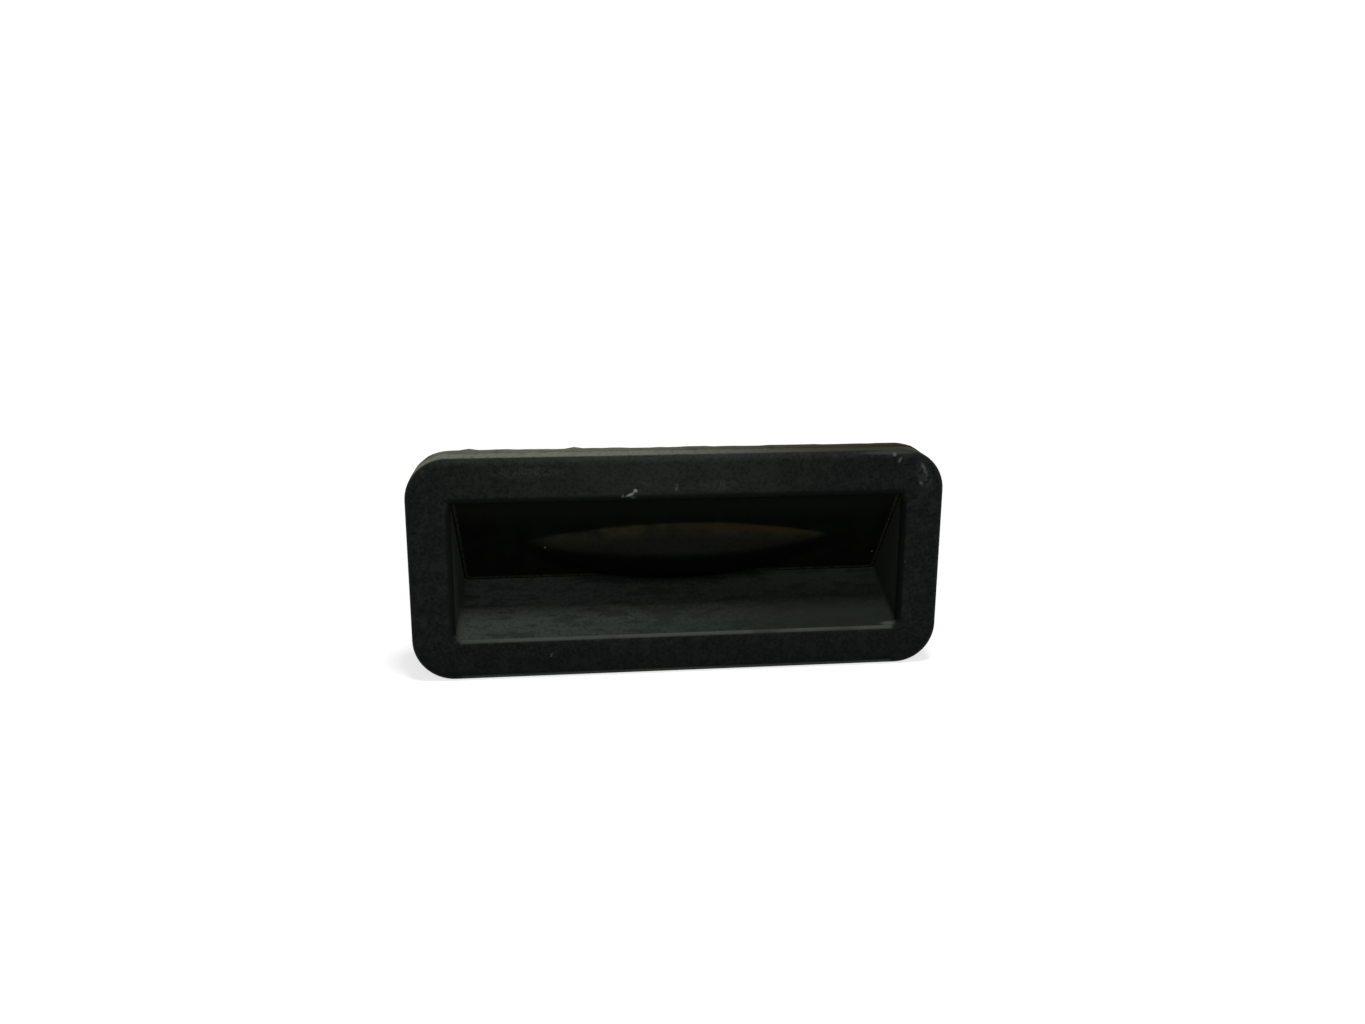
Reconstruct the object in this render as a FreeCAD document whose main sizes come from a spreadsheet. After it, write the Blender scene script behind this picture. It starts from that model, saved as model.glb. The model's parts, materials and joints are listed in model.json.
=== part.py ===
import FreeCAD, Part
import Sketcher
import math
import os

# Trunk release button: a moulded bezel with a V-shaped finger pocket, a rubber membrane with a
# lens-shaped press pad, a hinged paddle behind it, and a small snap switch on a circuit board.
# Millimetres. X runs to the right as seen from the front, Y runs into the vehicle and Z runs up.
# The origin is the middle of the bezel on the plane where the gasket meets the body panel.

Vector = FreeCAD.Vector
Rotation = FreeCAD.Rotation
Placement = FreeCAD.Placement

document = FreeCAD.newDocument("release_switch")

# Two places that are nearer than this are the same place.
CLOSE = 0.01

SIZES = {
    # How far a rough shape runs past the shape that trims it
    "overrun": 3.0,
    # Bezel flange, seen from the front
    "flange_width": 90.0,
    "flange_height": 38.0,
    "flange_thickness": 4.5,
    "flange_corner": 7.0,
    "front_edge_round": 1.3,
    # Finger pocket
    "side_rim": 7.15,
    "top_rim": 7.6,
    "bottom_rim": 6.8,
    "opening_round": 1.2,
    "pocket_depth": 12.0,
    "lip_thickness": 1.3,
    "panel_lean": 33.3,
    "side_draft": 5.2,
    "pocket_corner": 0.8,
    "floor_wall": 1.8,
    # Box behind the flange, which passes through the body panel
    "side_overhang": 4.0,
    "top_overhang": 4.6,
    "box_corner": 3.5,
    "box_wall": 1.8,
    # Snap tongues in the top and bottom walls of the box
    "tongue_width": 9.0,
    "tongue_spread": 44.0,
    "tongue_slot": 0.8,
    "tongue_length": 12.0,
    "panel_grip": 1.4,
    "catch_height": 1.5,
    "catch_length": 5.0,
    # Foam gasket behind the flange
    "gasket_thickness": 2.5,
    "gasket_inset": 0.3,
    "gasket_side_gap": 0.4,
    "gasket_catch_gap": 0.1,
    # Rubber membrane and its press pad
    "membrane_thickness": 1.2,
    "membrane_gap": 0.3,
    "pad_side_room": 10.85,
    "pad_height": 4.4,
    "pad_foot": 1.0,
    "pad_ridge_drop": 4.9,
    "pad_above": 3.7,
    "pad_wall": 1.3,
    "pad_taper": 0.85,
    "belly_up_share": 0.38,
    "belly_out_share": 0.9,
    "pad_end_shrink_ratio": 2.5,
    "pad_end_share": 0.97,
    "pad_steps": 5,
    "belly_flats": 4,
    "crown_gap": 0.2,
    # Carrier that holds the paddle and the switch
    "carrier_fit": 0.1,
    "carrier_face": 1.8,
    "carrier_below": 4.0,
    "carrier_end_wall": 1.2,
    "tub_room": 3.2,
    "tub_wall": 1.2,
    "tub_below": 0.9,
    # Paddle and its hinge
    "paddle_inset": 4.85,
    "paddle_low": 1.6,
    "paddle_thickness": 1.6,
    "paddle_gap": 0.1,
    "paddle_side_gap": 0.4,
    "hinge_drop": 4.4,
    "hinge_back": 1.75,
    "knuckle_radius": 1.35,
    "knuckle_gap": 0.35,
    "pin_radius": 0.75,
    "pin_running_fit": 0.05,
    "pin_seat_gap": 0.02,
    "anvil_radius": 1.3,
    "anvil_height": 0.5,
    # Torsion springs round the hinge pin
    "spring_wire": 0.45,
    "spring_wire_sides": 6,
    "spring_turns": 2.0,
    "spring_pitch": 0.55,
    "spring_spread": 32.0,
    "spring_leg": 7.0,
    "spring_room": 0.3,
    # Snap switch
    "switch_lever": 8.4,
    "case_length": 12.8,
    "case_width": 5.8,
    "case_height": 6.5,
    "case_wall": 1.0,
    "case_end_wall": 1.2,
    "lid_thickness": 0.9,
    "lid_rebate": 0.5,
    "part_gap": 0.05,
    "plunger_radius": 0.9,
    "plunger_way_gap": 0.35,
    "plunger_flange": 1.5,
    "plunger_flange_thickness": 0.6,
    "plunger_tip_chamfer": 0.55,
    "nib_radius": 0.7,
    "nib_length": 0.2,
    "blade_thickness": 0.2,
    "blade_width": 2.6,
    "blade_gap": 0.5,
    "blade_end_gap": 0.5,
    "contact_inset": 0.7,
    "contact_radius": 0.6,
    "contact_height": 0.35,
    "contact_travel": 0.67,
    "terminal_thickness": 0.6,
    "terminal_width": 1.6,
    "terminal_side_gap": 0.2,
    "terminal_tail": 1.2,
    # Circuit board
    "board_width": 30.0,
    "board_thickness": 1.2,
    "board_above": 3.3,
    "board_below": 10.7,
    "board_hole_gap": 0.1,
    "board_room": 1.93,
    "post_spread": 23.0,
    "post_drop": 4.5,
    "post_radius": 1.9,
    "screw_radius": 0.9,
    "screw_length": 5.0,
    "screw_head_radius": 1.7,
    "screw_head_height": 1.2,
    "screw_slot": 0.5,
    "screw_slot_length": 2.4,
    "screw_end_gap": 0.5,
    # Connector on the rear cover
    "connector_rise": 1.0,
    "contact_pin_radius": 0.5,
    "contact_pin_pitch": 5.0,
    "contact_pin_tail": 0.8,
    "contact_pin_bend": 1.2,
    "contact_pin_row": 9.4,
    "contact_pin_short": 1.5,
    "socket_width": 13.0,
    "socket_height": 10.0,
    "socket_corner": 1.5,
    "socket_wall": 1.3,
    "socket_depth": 10.0,
    "latch_width": 4.0,
    "latch_height": 1.2,
    "latch_length": 3.0,
    # Rear cover and its seal
    "cover_thickness": 2.0,
    "cover_seal": 0.8,
    "seal_inset": 0.3,
    "collar_wall": 1.2,
    "collar_corner": 1.5,
    "collar_reach": 5.8,
    "hook_width": 10.0,
    "hook_height": 1.0,
    "hook_length": 1.5,
    "hook_gap": 0.2,
    "hook_back": 2.4,
}

sheet = document.addObject("Spreadsheet::Sheet", "size")
for row, (alias, number) in enumerate(SIZES.items(), start=1):
    sheet.set(f"A{row}", alias)
    sheet.set(f"B{row}", str(number))
    sheet.setAlias(f"B{row}", alias)
document.recompute()

# Places that follow from the sizes. Those that end in up and out are measured in the leaning
# frame of the membrane: up along its face from its lower edge, and out of that face to the front.
WORKED_OUT = {
    "front_y": "-(size.flange_thickness + size.gasket_thickness)",
    "flange_back_y": "-size.gasket_thickness",
    "lip_y": "place.front_y + size.lip_thickness",
    "rear_y": "place.front_y + size.pocket_depth",
    "opening_width": "size.flange_width - 2 * size.side_rim",
    "opening_top": "size.flange_height / 2 - size.top_rim",
    "opening_bottom": "-size.flange_height / 2 + size.bottom_rim",
    "box_width": "size.flange_width - 2 * size.side_overhang",
    "box_height": "size.flange_height - 2 * size.top_overhang",
    "rear_z": "place.opening_top - (place.rear_y - place.lip_y) / tan(size.panel_lean)",
    "panel_length": "(place.rear_y - place.lip_y) / sin(size.panel_lean)",
    "floor_slope": "(place.rear_z - place.opening_bottom) / size.pocket_depth",
    "floor_angle": "atan(place.floor_slope)",
    "lip_floor_z": "place.opening_bottom + place.floor_slope * size.lip_thickness",
    "mouth_x": "place.opening_width / 2",
    "lip_x": "place.mouth_x - size.lip_thickness * tan(size.side_draft)",
    "rear_x": "place.mouth_x - size.pocket_depth * tan(size.side_draft)",
    "seat_step": "size.floor_wall / cos(size.panel_lean - place.floor_angle)",
    "seat_y": "place.rear_y + place.seat_step * sin(size.panel_lean)",
    "seat_z": "place.rear_z - place.seat_step * cos(size.panel_lean)",
    "under_floor_z": "place.opening_bottom + place.floor_slope * (place.flange_back_y - place.front_y)"
                     " - size.floor_wall / cos(place.floor_angle)",
    "chamber_x": "place.box_width / 2 - size.box_wall",
    "chamber_z": "place.box_height / 2 - size.box_wall",
    "carrier_x": "place.chamber_x - size.carrier_fit",
    "carrier_z": "place.chamber_z - size.carrier_fit",
    "hinge_up": "place.panel_length - size.hinge_drop",
    "pad_ridge": "place.hinge_up - size.pad_ridge_drop",
    "pad_length": "place.opening_width - 2 * size.pad_side_room",
    "paddle_width": "place.opening_width - 2 * size.paddle_inset",
    "membrane_out": "-size.membrane_thickness",
    "tub_floor_out": "place.membrane_out - size.tub_room",
    "tub_back_out": "place.tub_floor_out - size.tub_wall",
    "hinge_out": "place.membrane_out - size.hinge_back",
    "paddle_front_out": "place.membrane_out - size.paddle_gap",
    "paddle_back_out": "place.paddle_front_out - size.paddle_thickness",
    "tub_low_up": "size.paddle_low - size.tub_below",
    "tub_high_up": "place.hinge_up + size.knuckle_radius + size.knuckle_gap",
    "tub_x": "place.paddle_width / 2 + size.paddle_side_gap",
    "tub_outer_x": "place.tub_x + size.tub_wall",
    "coil_radius": "place.hinge_out - place.tub_floor_out - size.spring_wire / 2",
    "switch_up": "place.hinge_up - size.switch_lever",
    "anvil_out": "place.paddle_back_out - size.anvil_height",
    "plunger_tip_out": "place.anvil_out - size.part_gap",
    "case_back_out": "place.tub_back_out - size.case_height",
    "cavity_front_out": "place.tub_back_out - size.case_wall",
    "cavity_back_out": "place.case_back_out + size.case_wall",
    "cavity_x": "size.case_length / 2 - size.case_end_wall",
    "lid_inner_up": "place.switch_up + size.case_width / 2 - size.lid_thickness",
    "flange_top_out": "place.cavity_front_out - size.part_gap",
    "nib_out": "place.flange_top_out - size.plunger_flange_thickness - size.nib_length",
    "blade_top_out": "place.nib_out - size.blade_gap",
    "blade_back_out": "place.blade_top_out - size.blade_thickness",
    "fixed_contact_out": "place.blade_back_out - size.contact_height - size.contact_travel",
    "board_back_out": "place.case_back_out - size.board_thickness",
    "terminal_end_out": "place.board_back_out - size.terminal_tail",
    "terminal_x": "place.cavity_x - size.terminal_thickness / 2 - size.terminal_side_gap",
    "post_up": "place.switch_up - size.post_drop",
    "blade_start": "-place.terminal_x - size.terminal_thickness / 2",
    "blade_end": "place.cavity_x - size.blade_end_gap",
    "contact_x": "place.blade_end - size.contact_inset",
    "pin_row_up": "place.switch_up - size.contact_pin_row",
    "connector_z": "place.rear_z + place.pin_row_up * cos(size.panel_lean)"
                   " - place.board_back_out * sin(size.panel_lean) + size.connector_rise",
    "board_low_up": "place.switch_up - size.board_below",
    "board_rear_y": "place.rear_y - place.board_low_up * sin(size.panel_lean)"
                    " - place.board_back_out * cos(size.panel_lean)",
    "cover_in_y": "place.board_rear_y + size.board_room",
    "cover_out_y": "place.cover_in_y + size.cover_thickness",
    "box_rear_y": "place.cover_in_y - size.cover_seal",
    "collar_y": "place.cover_in_y - size.collar_reach",
    "hook_y": "place.cover_in_y - size.hook_back",
}

place = document.addObject("App::VarSet", "place")
for alias, formula in WORKED_OUT.items():
    place.addProperty("App::PropertyFloat", alias, "Worked out", "Follows from the sizes")
    place.setExpression(alias, formula)
document.recompute()

pieces = []


def value(formula):
    """The number that a formula on the sizes gives now."""
    number = sheet.evalExpression(formula)
    return float(getattr(number, "Value", number))


def bind(thing, formulas):
    """Ties each named property of an object to its formula."""
    for path, formula in formulas.items():
        thing.setExpression(path, formula)
    return thing


def piece(name, thing):
    """Marks a finished object as one piece of the switch."""
    thing.Label = name
    pieces.append(thing)
    return thing


def span(limits):
    """The distance between two limits, as a formula."""
    return f"({limits[1]}) - ({limits[0]})"


def both_sides(half):
    """Limits that lie the same distance left and right of the middle."""
    return (f"-({half})", half)


def leaning_point(up, out):
    """The Y and Z of a point that is given along and out of the membrane's face."""
    along_y = f"place.rear_y - ({up}) * sin(size.panel_lean) - ({out}) * cos(size.panel_lean)"
    along_z = f"place.rear_z + ({up}) * cos(size.panel_lean) - ({out}) * sin(size.panel_lean)"
    return along_y, along_z


def lean(thing, across, up, out):
    """Places an object so that its X, Y and Z run across, up and out of the membrane's face."""
    along_y, along_z = leaning_point(up, out)
    thing.Placement = Placement(Vector(), Rotation(Vector(1, 0, 0), 120))
    return bind(thing, {
        "Placement.Base.x": across,
        "Placement.Base.y": along_y,
        "Placement.Base.z": along_z,
        "Placement.Rotation.Angle": "90 + size.panel_lean",
    })


def block(name, x, y, z):
    """An upright box between two limits along each axis."""
    box = document.addObject("Part::Box", name)
    return bind(box, {
        "Length": span(x),
        "Width": span(y),
        "Height": span(z),
        "Placement.Base.x": x[0],
        "Placement.Base.y": y[0],
        "Placement.Base.z": z[0],
    })


def leaning_block(name, across, up, out):
    """A box that leans with the membrane, between two limits each way."""
    box = document.addObject("Part::Box", name)
    bind(box, {"Length": span(across), "Width": span(up), "Height": span(out)})
    return lean(box, across[0], up[0], out[0])


def leaning_rod(name, across, up, out, radius):
    """A round rod square to the membrane's face, between two limits out of it."""
    rod = document.addObject("Part::Cylinder", name)
    bind(rod, {"Radius": radius, "Height": span(out)})
    return lean(rod, across, up, out[0])


def cross_rod(name, across, up, out, radius):
    """A round rod that runs across, at one place in the leaning frame."""
    rod = document.addObject("Part::Cylinder", name)
    along_y, along_z = leaning_point(up, out)
    rod.Placement = Placement(Vector(), Rotation(Vector(0, 1, 0), 90))
    return bind(rod, {
        "Radius": radius,
        "Height": span(across),
        "Placement.Base.x": across[0],
        "Placement.Base.y": along_y,
        "Placement.Base.z": along_z,
    })


def leaning_shape(name, shape):
    """A shape worked out in the leaning frame, put in its place."""
    thing = document.addObject("Part::Feature", name)
    thing.Shape = shape
    return lean(thing, "0", "0", "0")


def joined(name, shapes):
    """Several shapes as one."""
    fuse = document.addObject("Part::MultiFuse", name)
    fuse.Shapes = shapes
    fuse.Refine = True
    return fuse


def shared(name, shapes):
    """What several shapes have in common."""
    common = document.addObject("Part::MultiCommon", name)
    common.Shapes = shapes
    common.Refine = True
    return common


def less(name, base, tools):
    """A shape with one or several others cut away."""
    cut = document.addObject("Part::Cut", name)
    cut.Base = base
    cut.Tool = tools[0] if len(tools) == 1 else joined(f"{name}_cuts", tools)
    cut.Refine = True
    return cut


def moulding(name):
    """An empty body for a moulded or stamped piece."""
    body = document.addObject("PartDesign::Body", name)
    document.recompute()
    return body


def flat_sketch(body, name, role, away):
    """A sketch on one of the body's own origin planes, moved along that plane's normal."""
    sketch = body.newObject("Sketcher::SketchObject", name)
    origin_plane = [plane for plane in body.Origin.OriginFeatures if plane.Role == role][0]
    sketch.AttachmentSupport = (origin_plane, [""])
    sketch.MapMode = "FlatFace"
    return bind(sketch, {"AttachmentOffset.Base.z": away})


def face_sketch(body, name, y):
    """A sketch seen from the front, at one depth."""
    return flat_sketch(body, name, "XZ_Plane", f"-({y})")


def constrain(sketch, kind, references, formula):
    """Adds one dimension to a sketch and ties it to its formula."""
    index = sketch.addConstraint(Sketcher.Constraint(kind, *references, value(formula)))
    sketch.setExpression(f"Constraints[{index}]", formula)


def draw_polygon(sketch, corners):
    """Draws a closed outline of straight lines through the corners."""
    points = [Vector(value(across), value(along), 0) for across, along in corners]
    first = sketch.GeometryCount
    count = len(points)
    for index in range(count):
        sketch.addGeometry(Part.LineSegment(points[index], points[(index + 1) % count]), False)
    for index in range(count):
        after = first + (index + 1) % count
        sketch.addConstraint(Sketcher.Constraint("Coincident", first + index, 2, after, 1))
    for index, (across, along) in enumerate(corners):
        constrain(sketch, "DistanceX", (-1, 1, first + index, 1), across)
        constrain(sketch, "DistanceY", (-1, 1, first + index, 1), along)
    return sketch


def draw_rounded(sketch, width, height, radius, rise="0"):
    """Draws a rectangle with round corners, centred across and raised by rise."""
    quarter = math.pi / 2
    half_width = value(width) / 2
    half_height = value(height) / 2
    round_radius = value(radius)
    first = sketch.GeometryCount
    arcs = []
    for turn, (side, level) in enumerate(((1, 1), (-1, 1), (-1, -1), (1, -1))):
        centre = Vector(side * (half_width - round_radius),
                        value(rise) + level * (half_height - round_radius), 0)
        circle = Part.Circle(centre, Vector(0, 0, 1), round_radius)
        arcs.append(Part.ArcOfCircle(circle, turn * quarter, (turn + 1) * quarter))
    for arc in arcs:
        sketch.addGeometry(arc, False)
    for turn in range(4):
        line = Part.LineSegment(arcs[turn].EndPoint, arcs[(turn + 1) % 4].StartPoint)
        sketch.addGeometry(line, False)
    for turn in range(4):
        line = first + 4 + turn
        sketch.addConstraint(Sketcher.Constraint("Tangent", first + turn, 2, line, 1))
        sketch.addConstraint(Sketcher.Constraint("Tangent", line, 2, first + (turn + 1) % 4, 1))
        level = "Horizontal" if turn % 2 == 0 else "Vertical"
        sketch.addConstraint(Sketcher.Constraint(level, line))
    for turn in (1, 2, 3):
        sketch.addConstraint(Sketcher.Constraint("Equal", first, first + turn))
    constrain(sketch, "Radius", (first,), radius)
    for arc, sign in ((first, "+"), (first + 2, "-")):
        across = f"{sign}(({width}) / 2 - ({radius}))"
        along = f"({rise}) {sign} (({height}) / 2 - ({radius}))"
        constrain(sketch, "DistanceX", (-1, 1, arc, 3), across)
        constrain(sketch, "DistanceY", (-1, 1, arc, 3), along)
    return sketch


def draw_circle(sketch, across, along, radius):
    """Draws a circle round a point."""
    centre = Vector(value(across), value(along), 0)
    index = sketch.GeometryCount
    sketch.addGeometry(Part.Circle(centre, Vector(0, 0, 1), value(radius)), False)
    constrain(sketch, "DistanceX", (-1, 1, index, 3), across)
    constrain(sketch, "DistanceY", (-1, 1, index, 3), along)
    constrain(sketch, "Radius", (index,), radius)
    return sketch


def pad(body, name, sketch, length, reverse=False, middle=False):
    """Raises a sketch into a solid, along its normal or against it."""
    feature = body.newObject("PartDesign::Pad", name)
    feature.Profile = (sketch, [""])
    feature.Reversed = reverse
    feature.SideType = "Symmetric" if middle else "One side"
    return bind(feature, {"Length": length})


def pocket(body, name, sketch, length, reverse=False, middle=False):
    """Cuts a sketch out of the body, against its normal unless reversed."""
    feature = body.newObject("PartDesign::Pocket", name)
    feature.Profile = (sketch, [""])
    feature.Reversed = reverse
    feature.SideType = "Symmetric" if middle else "One side"
    return bind(feature, {"Length": length})


def tapered_cut(body, name, front, rear):
    """Cuts a pocket whose limits across and up change evenly from one depth to another."""
    wedge = body.newObject("PartDesign::SubtractiveWedge", name)
    front_y, (front_x, front_z) = front
    rear_y, (rear_x, rear_z) = rear
    return bind(wedge, {
        "Ymin": front_y,
        "Xmin": front_x[0],
        "Xmax": front_x[1],
        "Zmin": front_z[0],
        "Zmax": front_z[1],
        "Ymax": rear_y,
        "X2min": rear_x[0],
        "X2max": rear_x[1],
        "Z2min": rear_z[0],
        "Z2max": rear_z[1],
    })


def edges_like(feature, test):
    """Names of the feature's edges whose middle points pass a test."""
    names = []
    for number, edge in enumerate(feature.Shape.Edges, start=1):
        if test(edge.valueAt((edge.FirstParameter + edge.LastParameter) / 2)):
            names.append(f"Edge{number}")
    return names


def rounded_edges(body, name, base, radius, test):
    """A fillet on the edges that pass a test."""
    document.recompute()
    feature = body.newObject("PartDesign::Fillet", name)
    feature.Base = (base, edges_like(base, test))
    return bind(feature, {"Radius": radius})


def make_bezel_housing():
    """One moulding: flange, finger pocket, box behind it, snap tongues and windows."""
    body = moulding("bezel_housing")

    outline = face_sketch(body, "flange_outline", "place.front_y")
    draw_rounded(outline, "size.flange_width", "size.flange_height", "size.flange_corner")
    pad(body, "flange", outline, "size.flange_thickness", reverse=True)

    box_outline = face_sketch(body, "box_outline", "place.flange_back_y")
    draw_rounded(box_outline, "place.box_width", "place.box_height", "size.box_corner")
    pad(body, "box", box_outline, "place.box_rear_y - place.flange_back_y", reverse=True)

    front_y = value("place.front_y")
    # The mouth is square as far as the lip's back, and the V narrows from there to its rear line.
    mouth = (both_sides("place.mouth_x"), ("place.opening_bottom", "place.opening_top"))
    at_lip = (both_sides("place.lip_x"), ("place.lip_floor_z", "place.opening_top"))
    rear_line = (both_sides("place.rear_x"), ("place.rear_z", "place.rear_z"))
    tapered_cut(body, "pocket_mouth", ("place.front_y", mouth), ("place.lip_y", at_lip))
    finger_pocket = tapered_cut(body, "finger_pocket", ("place.lip_y", at_lip),
                                ("place.rear_y", rear_line))

    def pocket_corner(middle):
        beside_wall = value("place.rear_x") - CLOSE < abs(middle.x) < value("place.mouth_x") - CLOSE
        along_floor = value("place.opening_bottom") < middle.z < value("place.rear_z")
        return beside_wall and along_floor and middle.y > front_y + CLOSE

    rounded_edges(body, "pocket_corners", finger_pocket, "size.pocket_corner", pocket_corner)

    # The chamber stops at the leaning seat of the membrane and under the pocket's floor.
    chamber = flat_sketch(body, "chamber_section", "YZ_Plane", "0")
    draw_polygon(chamber, [
        ("place.box_rear_y + size.overrun", "place.chamber_z"),
        ("place.lip_y", "place.chamber_z"),
        ("place.lip_y", "place.opening_top"),
        ("place.seat_y", "place.seat_z"),
        ("place.flange_back_y", "place.under_floor_z"),
        ("place.flange_back_y", "-place.chamber_z"),
        ("place.box_rear_y + size.overrun", "-place.chamber_z"),
    ])
    pocket(body, "chamber", chamber, "2 * place.chamber_x", middle=True)

    tongue_x = "size.tongue_spread / 2"
    slot_front = "size.panel_grip - size.tongue_slot"
    root_y = "size.panel_grip + size.tongue_length"
    half = "size.tongue_width / 2"
    for level, sign in (("top", "+"), ("bottom", "-")):
        slots = flat_sketch(body, f"{level}_tongue_slots", "XY_Plane", f"{sign}place.box_height / 2")
        for side in ("-", "+"):
            middle = f"{side}{tongue_x}"
            outer_left = f"{middle} - {half} - size.tongue_slot"
            outer_right = f"{middle} + {half} + size.tongue_slot"
            draw_polygon(slots, [
                (outer_left, root_y),
                (outer_left, slot_front),
                (outer_right, slot_front),
                (outer_right, root_y),
                (f"{middle} + {half}", root_y),
                (f"{middle} + {half}", "size.panel_grip"),
                (f"{middle} - {half}", "size.panel_grip"),
                (f"{middle} - {half}", root_y),
            ])
        pocket(body, f"{level}_tongues", slots, "size.box_wall", reverse=level == "bottom")
        for side, hand in (("left", "-"), ("right", "+")):
            catch = flat_sketch(body, f"{level}_{side}_catch_section", "YZ_Plane",
                                f"{hand}{tongue_x} - {half}")
            wall = f"{sign}(place.box_height / 2 - size.box_wall / 2)"
            crest = f"{sign}(place.box_height / 2 + size.catch_height)"
            draw_polygon(catch, [
                ("size.panel_grip", wall),
                ("size.panel_grip", crest),
                ("size.panel_grip + size.catch_height / 2", crest),
                ("size.panel_grip + size.catch_length", wall),
            ])
            last = pad(body, f"{level}_{side}_catch", catch, "size.tongue_width")

    # Windows in the end walls, for the hooks of the rear cover
    window = flat_sketch(body, "hook_window_outline", "YZ_Plane", "0")
    window_half = "size.hook_width / 2 + size.hook_gap"
    draw_polygon(window, [
        ("place.hook_y - size.hook_length - size.hook_gap", f"-({window_half})"),
        ("place.hook_y + size.hook_gap", f"-({window_half})"),
        ("place.hook_y + size.hook_gap", window_half),
        ("place.hook_y - size.hook_length - size.hook_gap", window_half),
    ])
    windows = pocket(body, "hook_windows", window, "place.box_width + size.overrun", middle=True)

    halfway_x = value("(place.opening_width + size.flange_width) / 4")
    halfway_z = value("(size.flange_height - min(size.top_rim; size.bottom_rim)) / 2")

    def on_front(middle):
        return abs(middle.y - front_y) < CLOSE

    def round_outline(middle):
        return on_front(middle) and (abs(middle.x) > halfway_x or abs(middle.z) > halfway_z)

    def mouth_edge(middle):
        return on_front(middle) and not round_outline(middle)

    outer_round = rounded_edges(body, "front_round", windows, "size.front_edge_round", round_outline)
    rounded_edges(body, "mouth_round", outer_round, "size.opening_round", mouth_edge)
    return piece("bezel_housing", body)


def make_flange_gasket():
    """Foam ring between the flange and the body panel."""
    body = moulding("flange_gasket")
    ring = face_sketch(body, "gasket_ring", "place.flange_back_y")
    draw_rounded(ring, "size.flange_width - 2 * size.gasket_inset",
                 "size.flange_height - 2 * size.gasket_inset",
                 "size.flange_corner - size.gasket_inset")
    draw_rounded(ring, "place.box_width + 2 * size.gasket_side_gap",
                 "place.box_height + 2 * (size.catch_height + size.gasket_catch_gap)",
                 "size.box_corner + size.gasket_side_gap")
    pad(body, "gasket", ring, "size.gasket_thickness", reverse=True)
    return piece("flange_gasket", body)


def lens_section(station, half_length, height, above, below, skin, flats):
    """One closed cross-section of the press pad, at a share of its half length.

    The upper foot closes in on the ridge with the square of the station, and the lower foot along
    an ellipse. The height falls to nothing at the ends. A straight face rises from the upper foot
    to the ridge, and a round belly comes down from there to the lower foot, as an arc or as
    a number of flats along it.
    """
    fullness = 1 - station * station
    ridge_up = value("place.pad_ridge")
    rise = height * fullness ** value("size.pad_taper")
    top = ridge_up + above * fullness
    low = ridge_up - below * math.sqrt(fullness)
    x = station * half_length
    top_foot = Vector(x, top, 0)
    ridge = Vector(x, ridge_up, rise)
    low_foot = Vector(x, low, 0)
    belly = Vector(x, low + value("size.belly_up_share") * (ridge_up - low),
                   value("size.belly_out_share") * rise)
    corners = [Vector(x, low, skin), Vector(x, top, skin)]
    belly_arc = Part.Arc(ridge, belly, low_foot).toShape()
    belly_edges = Part.makePolygon(belly_arc.discretize(flats + 1)).Edges if flats else [belly_arc]
    return Part.Wire([
        Part.LineSegment(corners[0], corners[1]).toShape(),
        Part.LineSegment(corners[1], top_foot).toShape(),
        Part.LineSegment(top_foot, ridge).toShape(),
        *belly_edges,
        Part.LineSegment(low_foot, corners[0]).toShape(),
    ])


def lens_solid(shrink, depth, flats=0):
    """The lens of the press pad, smaller by shrink all round, reaching back to depth.

    Where it doesn't show, its belly has a few flats.
    """
    half_length = value("place.pad_length") / 2 - value("size.pad_end_shrink_ratio") * shrink
    height = value("size.pad_height") - shrink
    above = value("size.pad_above") - shrink
    below = value("place.pad_ridge - size.pad_foot") - shrink
    steps = int(value("size.pad_steps"))
    sections = []
    for step in range(-steps, steps + 1):
        station = value("size.pad_end_share") * math.sin(math.pi / 2 * step / steps)
        sections.append(lens_section(station, half_length, height, above, below, depth, flats))
    return Part.makeLoft(sections, True, True)


def make_button_membrane():
    """Rubber sheet on the leaning seat, with the hollow lens-shaped pad raised on its face."""
    edge_x = "place.chamber_x - size.membrane_gap"
    sheet_block = leaning_block("membrane_sheet", both_sides(edge_x),
                                ("-place.seat_step", "place.panel_length + size.overrun"),
                                ("place.membrane_out", "0"))
    room = block("membrane_room", both_sides(edge_x), ("place.lip_y", "place.box_rear_y"),
                 both_sides("place.chamber_z - size.membrane_gap"))
    flat = shared("membrane_flat", [sheet_block, room])
    thickness = value("size.membrane_thickness")
    lens = leaning_shape("pad_lens", lens_solid(0, -thickness / 2))
    flats = int(value("size.belly_flats"))
    hollow = leaning_shape("pad_hollow", lens_solid(value("size.pad_wall"), -2 * thickness, flats))
    solid = joined("membrane_solid", [flat, lens])
    return piece("button_membrane", less("button_membrane", solid, [hollow]))


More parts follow.
